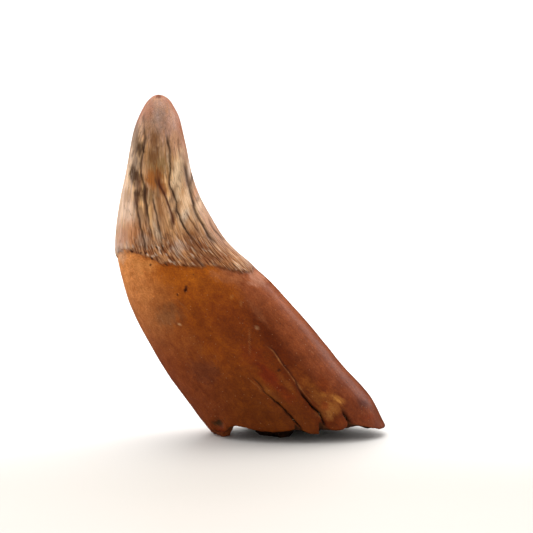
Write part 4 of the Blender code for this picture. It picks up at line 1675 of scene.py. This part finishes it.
@dataclass
class Effects:
    """The node groups that more than one finish uses."""

    detail: float = 3.0
    dot_core: float = 0.4
    craze_sway: float = 0.7
    craze_sway_scale: float = 1.3
    craze_detail: float = 2.0

    def __post_init__(self) -> None:
        """Builds each group once."""
        self.mottle = self.build_mottle()
        self.streak = self.build_streak()
        self.specks = self.build_specks()
        self.crazing = self.build_crazing()

    def drawn_out(self, w: Group) -> Socket:
        """Squeezes a group's Flow input by its Wide and Long inputs.

        Args:
            w: The group.

        Returns:
            The squeezed coordinates.
        """
        wide, long = w.math("DIVIDE", 1.0, w.given["Wide"]), w.math("DIVIDE", 1.0, w.given["Long"])
        factors = w.node("ShaderNodeCombineXYZ", {0: wide, 1: wide, 2: long}).outputs[0]
        return w.vectors("MULTIPLY", w.given["Flow"], factors)

    def build_mottle(self) -> Tree:
        """Builds soft cloudy noise in millimetres, from 0 to 1.

        Returns:
            The group's tree.
        """
        inputs = {"Position": SocketKind.VECTOR, "Size": 2.0, "Detail": 3.0, "Low": 0.3, "High": 0.7}
        w = Group("mottle", inputs, {"Value": SocketKind.NUMBER})
        given = w.given
        scale = w.math("DIVIDE", PER_METRE, given["Size"])
        cloud = w.noise(given["Position"], scale, given["Detail"])
        return w.close({"Value": w.ease(cloud, given["Low"], given["High"])})

    def build_streak(self) -> Tree:
        """Builds noise drawn out down the tooth, from 0 to 1.

        Returns:
            The group's tree.
        """
        inputs = {"Flow": SocketKind.VECTOR, "Wide": 0.5, "Long": 6.0, "Low": 0.3, "High": 0.7}
        w = Group("streaks", inputs, {"Value": SocketKind.NUMBER})
        given = w.given
        cloud = w.noise(self.drawn_out(w), 1.0, self.detail)
        return w.close({"Value": w.ease(cloud, given["Low"], given["High"])})

    def build_specks(self) -> Tree:
        """Builds small scattered dots, 1 on a dot.

        Returns:
            The group's tree.
        """
        inputs = {"Position": SocketKind.VECTOR, "Spacing": 1.0, "Size": 0.2, "Share": 0.3}
        w = Group("specks", inputs, {"Mask": SocketKind.NUMBER})
        given = w.given
        scale = w.math("DIVIDE", PER_METRE, given["Spacing"])
        cells = w.node("ShaderNodeTexVoronoi", {"Vector": given["Position"], "Scale": scale})
        chance = w.node("ShaderNodeSeparateColor", {0: cells.outputs["Color"]}).outputs[0]
        chosen = w.math("LESS_THAN", chance, given["Share"])
        size = w.math("DIVIDE", given["Size"], given["Spacing"])
        dot = w.ease(cells.outputs["Distance"], size, w.times(size, self.dot_core))
        return w.close({"Mask": w.times(dot, chosen)})

    def build_crazing(self) -> Tree:
        """Builds a net of hairlines drawn out down the tooth, 1 on a line.

        Returns:
            The group's tree.
        """
        inputs = {"Flow": SocketKind.VECTOR, "Wide": 1.0, "Long": 6.0, "Line": 0.06}
        w = Group("crazing", inputs, {"Mask": SocketKind.NUMBER})
        given = w.given
        drawn = self.drawn_out(w)
        sway = w.noise(drawn, self.craze_sway_scale, self.craze_detail, "Color")
        moved = w.vectors("ADD", drawn, w.vectors("MULTIPLY", sway, (self.craze_sway,) * 3))
        inputs = {"Vector": moved, "Scale": 1.0}
        net = w.node("ShaderNodeTexVoronoi", inputs, feature="DISTANCE_TO_EDGE")
        return w.close({"Mask": w.ease(net.outputs["Distance"], given["Line"], 0.0)})


class FinishResult(NamedTuple):
    """What a finish gives the material."""

    colour: Socket
    roughness: Socket
    height: Socket


class Streaking(NamedTuple):
    """Streaks in a finish: their size and share, their tone, and where they start and are full."""

    wide: float
    long: float
    share: float
    tone: Rgba
    low: float = 0.3
    high: float = 0.7


class Dots(NamedTuple):
    """Dots in a finish: their spacing and size, how many there are, their share and colour."""

    spacing: float
    size: float
    chance: float
    share: float
    colour: Rgba


class Cloud(NamedTuple):
    """Soft clouds in a finish: their size, their share and their tone."""

    size: float
    share: float
    tone: Rgba


class FinishGroup(Group):
    """A finish's node group, with the same sockets for each and the shared effects in it."""

    def __init__(self, name: str, effects: Effects) -> None:
        """Makes the group with its sockets.

        Args:
            name: The group's name.
            effects: The shared groups.
        """
        number, colour, vector = SocketKind.NUMBER, SocketKind.COLOUR, SocketKind.VECTOR
        inputs = {"Tint": colour, "Position": vector, "Flow": vector, "Lines": 0.0, "Ribs": 0.0}
        super().__init__(name, inputs, {"Colour": colour, "Roughness": number, "Height": number})
        self.effects = effects

    def streaks(self, layer: Streaking) -> Socket:
        """Adds streaks and returns their mask."""
        sizes = {"Wide": layer.wide, "Long": layer.long, "Low": layer.low, "High": layer.high}
        return self.use(self.effects.streak, Flow=self.given["Flow"], **sizes)

    def dots(self, layer: Dots) -> Socket:
        """Adds dots and returns their mask."""
        sizes = {"Spacing": layer.spacing, "Size": layer.size, "Share": layer.chance}
        return self.use(self.effects.specks, Position=self.given["Position"], **sizes)

    def clouds(self, layer: Cloud) -> Socket:
        """Adds clouds and returns their mask."""
        return self.use(self.effects.mottle, Position=self.given["Position"], Size=layer.size)

    def put_out(self, colour: Socket, roughness: Socket, height: Socket) -> Tree:
        """Joins the finish's three results to the group's outputs and returns its tree."""
        return self.close({"Colour": colour, "Roughness": roughness, "Height": height})


@dataclass(frozen=True)
class EnamelFinish:
    """Worn fossil enamel: glossy, finely streaked, with hairline crazing."""

    roughness: float = 0.3
    roughness_spread: float = 0.16
    line_roughness: float = 0.7
    streaks: Streaking = Streaking(0.32, 4.5, 1.0, (0.84, 0.79, 0.73, 1.0))
    streak_light: Rgba = (1.12, 1.12, 1.1, 1.0)
    streak_height: float = 0.5
    fibres: Streaking = Streaking(0.2, 3.2, 1.0, (0.52, 0.42, 0.34, 1.0))
    fibre_light: Rgba = (1.42, 1.48, 1.5, 1.0)
    fibre_shares: Place = (0.3, 0.9)
    warmth: Cloud = Cloud(1.6, 0.4, (0.88, 0.78, 0.66, 1.0))
    craze_wide: float = 1.5
    craze_long: float = 9.0
    craze_line: float = 0.035
    craze_share: float = 0.45
    craze_colour: Rgba = (0.14, 0.075, 0.045, 1.0)
    craze_depth: float = 0.5

    def build(self, effects: Effects) -> Tree:
        """Builds the finish's group.

        Args:
            effects: The shared groups.

        Returns:
            The group's tree.
        """
        w = FinishGroup("enamel_finish", effects)
        given = w.given
        tint, streak, fibre = given["Tint"], w.streaks(self.streaks), w.streaks(self.fibres)
        sizes = {"Wide": self.craze_wide, "Long": self.craze_long, "Line": self.craze_line}
        craze = w.use(effects.crazing, Flow=given["Flow"], **sizes)
        warm = w.times(w.clouds(self.warmth), self.warmth.share)
        colour = w.mix(streak, w.tinted(tint, self.streaks.tone), w.tinted(tint, self.streak_light))
        dark, light = w.tinted(colour, self.fibres.tone), w.tinted(colour, self.fibre_light)
        ribbed = w.ease(given["Ribs"], 0.0, 1.0, *self.fibre_shares)
        colour = w.mix(ribbed, colour, w.mix(fibre, dark, light))
        colour = w.mix(warm, colour, w.tinted(colour, self.warmth.tone))
        colour = w.mix(w.times(craze, self.craze_share), colour, self.craze_colour)
        rough = w.mix_values(streak, self.roughness + self.roughness_spread, self.roughness)
        rough = w.mix_values(given["Lines"], rough, self.line_roughness)
        raised, sunk = w.times(streak, self.streak_height), w.times(craze, self.craze_depth)
        height = w.math("ADD", w.math("SUBTRACT", raised, sunk), w.times(fibre, given["Ribs"]))
        return w.put_out(colour, rough, height)


@dataclass(frozen=True)
class DentineFinish:
    """The root's polished skin: mottled, finely grained, with pale specks and small pits."""

    roughness: float = 0.3
    roughness_spread: float = 0.1
    line_roughness: float = 0.85
    clouds: Cloud = Cloud(2.4, 1.0, (0.9, 0.84, 0.74, 1.0))
    cloud_light: Rgba = (1.14, 1.17, 1.18, 1.0)
    flecks: Streaking = Streaking(0.5, 1.0, 0.6, (1.3, 1.36, 1.36, 1.0), 0.54, 0.72)
    blotches: Streaking = Streaking(1.0, 1.8, 0.4, (0.76, 0.62, 0.5, 1.0), 0.52, 0.7)
    grain: Cloud = Cloud(0.35, 0.75, (0.7, 0.6, 0.5, 1.0))
    grain_height: float = 0.3
    streaks: Streaking = Streaking(0.6, 10.0, 0.35, (0.82, 0.7, 0.58, 1.0))
    streak_height: float = 0.25
    specks: Dots = Dots(0.95, 0.15, 0.5, 0.36, (0.6, 0.32, 0.16, 1.0))
    pits: Dots = Dots(2.2, 0.22, 0.25, 0.75, (0.05, 0.018, 0.006, 1.0))

    def build(self, effects: Effects) -> Tree:
        """Builds the finish's group.

        Args:
            effects: The shared groups.

        Returns:
            The group's tree.
        """
        w = FinishGroup("dentine_finish", effects)
        given = w.given
        tint, cloud, grain = given["Tint"], w.clouds(self.clouds), w.clouds(self.grain)
        streak, pits = w.streaks(self.streaks), w.dots(self.pits)
        colour = w.mix(cloud, w.tinted(tint, self.clouds.tone), w.tinted(tint, self.cloud_light))
        layers = (
            (self.flecks, w.streaks(self.flecks)),
            (self.blotches, w.streaks(self.blotches)),
            (self.grain, grain),
            (self.streaks, streak),
        )
        for layer, mask in layers:
            colour = w.mix(w.times(mask, layer.share), colour, w.tinted(colour, layer.tone))
        for dots, mask in ((self.specks, w.dots(self.specks)), (self.pits, pits)):
            colour = w.mix(w.times(mask, dots.share), colour, dots.colour)
        rough = w.mix_values(grain, self.roughness, self.roughness + self.roughness_spread)
        rough = w.mix_values(given["Lines"], rough, self.line_roughness)
        height = w.math("SUBTRACT", w.times(grain, self.grain_height), pits)
        height = w.math("ADD", height, w.times(streak, self.streak_height))
        return w.put_out(colour, rough, height)


@dataclass(frozen=True)
class FractureFinish:
    """The broken face: dull, grainy, with clouds of dirt."""

    roughness: float = 0.74
    grain_roughness: float = 0.92
    grain: Cloud = Cloud(0.4, 0.5, (1.6, 1.6, 1.55, 1.0))
    grain_height: float = 0.8
    dirt: Cloud = Cloud(1.8, 1.0, (0.5, 0.42, 0.34, 1.0))

    def build(self, effects: Effects) -> Tree:
        """Builds the finish's group.

        Args:
            effects: The shared groups.

        Returns:
            The group's tree.
        """
        w = FinishGroup("fracture_finish", effects)
        given = w.given
        tint, grain, dirt = given["Tint"], w.clouds(self.grain), w.clouds(self.dirt)
        colour = w.mix(dirt, tint, w.tinted(tint, self.dirt.tone))
        grained = w.tinted(colour, self.grain.tone)
        colour = w.mix(w.times(grain, self.grain.share), colour, grained)
        rough = w.mix_values(grain, self.roughness, self.grain_roughness)
        height = w.math("ADD", w.times(grain, self.grain_height), dirt)
        return w.put_out(colour, rough, height)


@dataclass(frozen=True)
class ToothMaterial:
    """The tooth's one material, in which the three finishes meet along the masks."""

    effects: Effects
    bump_strength: float = 0.5
    bump_height: float = 0.08
    ior: float = 1.45
    specular: float = 0.22
    coat: float = 0.05
    coat_roughness: float = 0.2

    def lay(self, w: Wiring, tree: Tree, shared: Mapping[str, Any]) -> FinishResult:
        """Places one finish's group in the material and returns its three results."""
        return FinishResult(*w.node("ShaderNodeGroup", shared, node_tree=tree).outputs)

    def build(self) -> Material:
        """Builds the material.

        Returns:
            The finished material.
        """
        material, w, shader = new_material("fossil_tooth_skin")
        shared = {
            "Tint": w.attribute("tint", "Color"),
            "Position": w.node("ShaderNodeTexCoord").outputs["Object"],
            "Flow": w.attribute("flow", "Vector"),
            "Lines": w.math("MAXIMUM", w.attribute("fissure"), w.attribute("crack")),
            "Ribs": w.attribute("ribs"),
        }
        root = self.lay(w, DentineFinish().build(self.effects), shared)
        crown = self.lay(w, EnamelFinish().build(self.effects), shared)
        broken = self.lay(w, FractureFinish().build(self.effects), shared)
        enamel, end = w.attribute("enamel"), w.attribute("broken")
        colour = w.mix(end, w.mix(enamel, root.colour, crown.colour), broken.colour)
        rough = w.mix_values(enamel, root.roughness, crown.roughness)
        rough = w.mix_values(end, rough, broken.roughness)
        height = w.mix_values(enamel, root.height, crown.height)
        height = w.mix_values(end, height, broken.height)
        normal = w.bump(height, self.bump_strength, self.bump_height)
        w.feed(shader, {"Base Color": colour, "Roughness": rough, "Normal": normal})
        shader.inputs["IOR"].default_value = self.ior
        shader.inputs["Specular IOR Level"].default_value = self.specular
        shader.inputs["Coat Weight"].default_value = self.coat
        shader.inputs["Coat Roughness"].default_value = self.coat_roughness
        return material


@dataclass(frozen=True)
class SedimentMaterial:
    """Pale dried sediment in the cracks."""

    effects: Effects
    dark: Rgba = (0.16, 0.08, 0.04, 1.0)
    light: Rgba = (0.36, 0.24, 0.15, 1.0)
    cloud_size: float = 0.5
    roughness: float = 0.9
    bump_strength: float = 0.4
    bump_height: float = 0.05

    def build(self) -> Material:
        """Builds the material.

        Returns:
            The finished material.
        """
        material, w, shader = new_material("dried_sediment")
        place = w.node("ShaderNodeTexCoord").outputs["Object"]
        cloud = w.use(self.effects.mottle, Position=place, Size=self.cloud_size)
        colour = w.mix(cloud, self.dark, self.light)
        normal = w.bump(cloud, self.bump_strength, self.bump_height)
        w.feed(shader, {"Base Color": colour, "Normal": normal})
        shader.inputs["Roughness"].default_value = self.roughness
        return material


# ---- Geometry Nodes


def freeze(obj: Object, tree: Tree, values: Mapping[str, Any]) -> None:
    """Runs a Geometry Nodes tree on an object and keeps the result as its plain mesh.

    Args:
        obj: The object.
        tree: The tree.
        values: A value for each of the tree's named inputs.
    """
    modifier = obj.modifiers.new(tree.name, "NODES")
    modifier.node_group = tree
    for item in tree.interface.items_tree:
        if item.item_type == "SOCKET" and item.in_out == "INPUT" and item.name in values:
            modifier[item.identifier] = values[item.name]
    graph = bpy.context.evaluated_depsgraph_get()
    made = bpy.data.meshes.new_from_object(obj.evaluated_get(graph))
    obj.modifiers.clear()
    old = obj.data
    obj.data = made
    bpy.data.meshes.remove(old)


@dataclass(frozen=True)
class Weathering:
    """Fine real relief on the whole skin: soft grain, small pits and a rougher break."""

    grain_depth: float = 0.02
    grain_size: float = 0.9
    pit_depth: float = 0.1
    pit_spacing: float = 3.2
    pit_radius: float = 0.13
    break_depth: float = 0.16
    break_size: float = 0.7
    grain_detail: float = 2.0
    break_detail: float = 3.0
    ground: float = 0.1

    def centred(self, w: Wiring, size: Any, detail: float, depth: Any) -> Socket:
        """Adds noise that moves the skin in and out alike and returns its height."""
        place, scale = w.node("GeometryNodeInputPosition").outputs[0], w.math("DIVIDE", 1.0, size)
        return w.times(w.math("SUBTRACT", w.noise(place, scale, detail), 0.5), depth)

    def tree(self, sizes: Mapping[str, float]) -> Tree:
        """Builds the tree.

        Args:
            sizes: The first value of each of its named sizes.

        Returns:
            A tree that moves each point along its normal and sets the material.
        """
        inputs = {"Geometry": SocketKind.GEOMETRY, **sizes, "Material": SocketKind.MATERIAL}
        w = Group("weathered_skin", inputs, {"Geometry": SocketKind.GEOMETRY}, "GeometryNodeTree")
        given = w.given
        place = w.node("GeometryNodeInputPosition").outputs[0]
        grain = self.centred(w, given["Grain Size"], self.grain_detail, given["Grain Depth"])
        pit_scale = w.math("DIVIDE", 1.0, given["Pit Spacing"])
        cells = w.node("ShaderNodeTexVoronoi", {"Vector": place, "Scale": pit_scale})
        pit = w.times(w.ease(cells.outputs["Distance"], given["Pit Radius"], 0.0), given["Pit Depth"])
        rough = self.centred(w, given["Break Size"], self.break_detail, given["Break Depth"])
        broken = w.node("GeometryNodeInputNamedAttribute", {"Name": "broken"}, data_type="FLOAT")
        height = w.mix_values(broken.outputs[0], w.math("SUBTRACT", grain, pit), rough)
        normal = w.node("GeometryNodeInputNormal").outputs[0]
        ground = self.ground * METRES
        above = w.math("GREATER_THAN", w.node("ShaderNodeSeparateXYZ", {0: place}).outputs[2], ground)
        shift = {"Geometry": given["Geometry"], "Selection": above, "Offset": w.scaled(normal, height)}
        moved = w.node("GeometryNodeSetPosition", shift)
        real = w.node("GeometryNodeRealizeInstances", {"Geometry": moved.outputs[0]})
        return w.close_dressed(real.outputs[0])

    def weather(self, obj: Object, material: Material) -> None:
        """Weathers an object's mesh.

        Args:
            obj: The object.
            material: The material that its faces get.
        """
        sizes = {
            "Grain Depth": self.grain_depth * METRES,
            "Grain Size": self.grain_size * METRES,
            "Pit Depth": self.pit_depth * METRES,
            "Pit Spacing": self.pit_spacing * METRES,
            "Pit Radius": self.pit_radius,
            "Break Depth": self.break_depth * METRES,
            "Break Size": self.break_size * METRES,
        }
        freeze(obj, self.tree(sizes), {**sizes, "Material": material})


@dataclass(frozen=True)
class Sediment:
    """Crumbs of dried sediment that sit in the cracks and on the break."""

    crumb_radius: float = 0.13
    smallest: float = 0.35
    lumpiness: float = 0.05
    crack_crumbs: int = 26
    break_crumbs: int = 90
    seed: int = 7
    crack_heights: Place = (1.5, 7.0)
    break_heights: Place = (0.5, 6.0)
    least_crack: float = 0.75
    least_break: float = 0.9
    subdivisions: int = 2
    lump_scale: float = 7.0

    def tree(self, sizes: Mapping[str, float]) -> Tree:
        """Builds the tree.

        Args:
            sizes: The first value of each of its named numbers.

        Returns:
            A tree that puts a lumpy crumb of random size on each point.
        """
        inputs = {"Geometry": SocketKind.GEOMETRY, **sizes, "Material": SocketKind.MATERIAL}
        w = Group("sediment_crumbs", inputs, {"Geometry": SocketKind.GEOMETRY}, "GeometryNodeTree")
        given = w.given
        sphere = {"Radius": given["Radius"], "Subdivisions": self.subdivisions}
        crumb = w.node("GeometryNodeMeshIcoSphere", sphere)
        spread = {2: given["Smallest"], 3: 1.0, "Seed": given["Seed"]}
        size = w.node("FunctionNodeRandomValue", spread, data_type="FLOAT")
        turns = {1: (math.tau, math.tau, math.tau), "Seed": given["Seed"]}
        turn = w.node("FunctionNodeRandomValue", turns, data_type="FLOAT_VECTOR")
        on_points = {"Points": given["Geometry"], "Instance": crumb.outputs[0]}
        on_points |= {"Rotation": turn.outputs[0], "Scale": size.outputs[1]}
        placed = w.node("GeometryNodeInstanceOnPoints", on_points)
        real = w.node("GeometryNodeRealizeInstances", {"Geometry": placed.outputs[0]})
        place = w.node("GeometryNodeInputPosition").outputs[0]
        lump = w.noise(place, self.lump_scale / METRES, 1.0, "Color")
        offset = w.scaled(w.vectors("SUBTRACT", lump, (0.5, 0.5, 0.5)), given["Lumpiness"])
        moved = w.node("GeometryNodeSetPosition", {"Geometry": real.outputs[0], "Offset": offset})
        return w.close_dressed(moved.outputs[0])

    def beds(self, skin: Skin) -> Array:
        """Picks where the crumbs sit.

        Args:
            skin: The tooth's skin.

        Returns:
            Their places, in millimetres.
        """
        rng = np.random.default_rng(self.seed)
        height = skin.points[..., 2]
        beds = (
            ("crack", self.least_crack, self.crack_heights, self.crack_crumbs),
            ("broken", self.least_break, self.break_heights, self.break_crumbs),
        )
        picked = []
        for name, least, (low, high), count in beds:
            fit = skin.points[(skin.masks[name] > least) & (height > low) & (height < high)]
            picked.append(fit[rng.choice(len(fit), count)])
        return np.concatenate(picked)

    def build(self, skin: Skin, material: Material) -> Object:
        """Makes the crumbs.

        Args:
            skin: The tooth's skin.
            material: The crumbs' material.

        Returns:
            One object that holds them all.
        """
        mesh = bpy.data.meshes.new("sediment_crumbs")
        mesh.from_pydata((self.beds(skin) * METRES).tolist(), [], [])
        obj = add_object("sediment_crumbs", mesh)
        sizes = {
            "Radius": self.crumb_radius * METRES,
            "Smallest": self.smallest,
            "Lumpiness": self.lumpiness * METRES,
            "Seed": float(self.seed),
        }
        freeze(obj, self.tree(sizes), {**sizes, "Material": material})
        obj.data.shade_smooth()
        return obj


# ---- The studio


@dataclass(frozen=True)
class Softbox:
    """A square soft light that faces a point."""

    name: str
    place: Triple
    size: float
    radiance: float
    target: Triple = (0.0, 0.0, 0.03)
    mirrored: bool = True

    def build(self) -> None:
        """Makes the light."""
        light = bpy.data.lights.new(self.name, "AREA")
        light.shape = "SQUARE"
        light.size = self.size
        light.energy = self.radiance * math.pi * self.size**2
        obj = add_object(self.name, light)
        obj.location = self.place
        obj.visible_glossy = self.mirrored
        aim(obj, Vector(self.target) - Vector(self.place))


@dataclass(frozen=True)
class Studio:
    """A white floor, a light tent with softboxes, and the camera."""

    floor_radius: float = 14.0
    floor_sides: int = 96
    floor_seen: Rgba = (0.95, 0.94, 0.93, 1.0)
    # Painted shadow: the floor as seen is darker towards the front, in front of the tooth.
    floor_painted_shadow: Rgba = (0.6, 0.565, 0.52, 1.0)
    floor_shadow_fade: Place = (-0.06, 0.07)
    floor_bounce: Rgba = (0.5, 0.48, 0.46, 1.0)
    floor_mirrored: Rgba = (0.02, 0.02, 0.02, 1.0)
    floor_roughness: float = 0.42
    floor_specular: float = 0.25
    tent: float = 1.45
    tent_front: float = 0.66
    tent_mirrored: float = 0.04
    front_cone: Place = (0.05, 0.7)
    sky: float = 0.65
    sky_angle: float = 55.0
    sky_from: Triple = (0.0, 0.6, 1.0)
    camera_distance: float = 0.5
    camera_elevation: float = 8.0
    camera_lens: float = 143.7
    camera_clip: Place = (0.01, 40.0)
    target: Triple = (0.00364, 0.0, 0.04)
    softboxes: tuple[Softbox, ...] = (
        Softbox("backdrop", (0.0, 0.82, 0.38), 0.5, 3.6, mirrored=False),
        Softbox("softbox_left", (-0.4, 0.22, 0.2), 0.3, 2.0),
        Softbox("softbox_right", (0.4, 0.26, 0.24), 0.26, 2.0),
    )

    def floor(self) -> Object:
        """Makes the floor, which throws less light back than the camera sees on it.

        Returns:
            A flat white disc.
        """
        turns = [2 * math.pi * i / self.floor_sides for i in range(self.floor_sides)]
        rim = [(self.floor_radius * math.cos(t), self.floor_radius * math.sin(t), 0) for t in turns]
        mesh = bpy.data.meshes.new("studio_floor")
        mesh.from_pydata(rim, [], [tuple(range(self.floor_sides))])
        material, w, shader = new_material("white_floor")
        rays = w.node("ShaderNodeLightPath").outputs
        colour = w.mix(rays["Is Glossy Ray"], self.floor_bounce, self.floor_mirrored)
        place = w.node("ShaderNodeTexCoord").outputs["Object"]
        depth = w.node("ShaderNodeSeparateXYZ", {0: place}).outputs["Y"]
        # Painted shadow on the floor: darker towards the front, fading to plain white behind.
        seen = w.mix(w.ease(depth, *self.floor_shadow_fade), self.floor_painted_shadow, self.floor_seen)
        w.feed(shader, {"Base Color": w.mix(rays["Is Camera Ray"], colour, seen)})
        shader.inputs["Roughness"].default_value = self.floor_roughness
        shader.inputs["Specular IOR Level"].default_value = self.floor_specular
        mesh.materials.append(material)
        return add_object("studio_floor", mesh)

    def light_tent(self) -> None:
        """Makes the world: white all round, darker where the tent opens in front."""
        world = bpy.data.worlds.new("light_tent")
        bpy.context.scene.world = world
        world.use_nodes = True
        w = Wiring(world.node_tree)
        background = world.node_tree.nodes["Background"]
        direction = w.node("ShaderNodeTexCoord").outputs["Generated"]
        facing = w.node("ShaderNodeVectorMath", {0: direction, 1: (0.0, -1.0, 0.0)}, operation="DOT_PRODUCT")
        opening = w.ease(facing.outputs["Value"], *self.front_cone, self.tent, self.tent_front)
        rays = w.node("ShaderNodeLightPath").outputs
        dimmed = w.times(opening, self.tent_mirrored)
        strength = w.mix_values(rays["Is Glossy Ray"], opening, dimmed)
        w.feed(background, {"Strength": w.mix_values(rays["Is Camera Ray"], strength, 1.0)})
        background.inputs["Color"].default_value = (1.0, 1.0, 1.0, 1.0)

    def sky_light(self) -> None:
        """Makes a very soft light from above."""
        light = bpy.data.lights.new("soft_sky", "SUN")
        light.energy = self.sky * math.pi
        light.angle = math.radians(self.sky_angle)
        obj = add_object("soft_sky", light)
        obj.visible_glossy = False
        aim(obj, -Vector(self.sky_from))

    def camera(self) -> None:
        """Makes the camera and chooses it."""
        lens = bpy.data.cameras.new("camera")
        lens.lens = self.camera_lens
        lens.clip_start, lens.clip_end = self.camera_clip
        obj = add_object("camera", lens)
        tilt = math.radians(self.camera_elevation)
        back = Vector((0, -math.cos(tilt), math.sin(tilt)))
        obj.location = Vector(self.target) + back * self.camera_distance
        aim(obj, -back)
        bpy.context.scene.camera = obj

    def build(self) -> None:
        """Sets up the floor, the lights, the camera and the display of colours."""
        self.floor()
        self.light_tent()
        self.sky_light()
        for softbox in self.softboxes:
            softbox.build()
        self.camera()
        bpy.context.scene.view_settings.view_transform = "Standard"


# ---- Putting it together


def report(pieces: Iterable[Object]) -> None:
    """Logs each piece's size in faces and millimetres.

    Args:
        pieces: The pieces' objects.
    """
    for piece in pieces:
        size = ", ".join(f"{side / METRES:.1f}" for side in piece.dimensions)
        LOG.info("%s: %d faces, %s mm", piece.name, len(piece.data.polygons), size)


def main() -> None:
    """Builds and dresses the tooth, and sets up the studio."""
    logging.basicConfig(level=logging.INFO, format="%(name)s: %(message)s")
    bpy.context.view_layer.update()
    Studio().build()
    effects = Effects()
    tooth, skin = Tooth().build()
    Weathering().weather(tooth, ToothMaterial(effects).build())
    crumbs = Sediment().build(skin, SedimentMaterial(effects).build())
    for piece in (tooth, crumbs):
        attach(piece, BODY)
    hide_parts(CAD_NODE)
    report((tooth, crumbs))


if __name__ == "__main__":
    main()
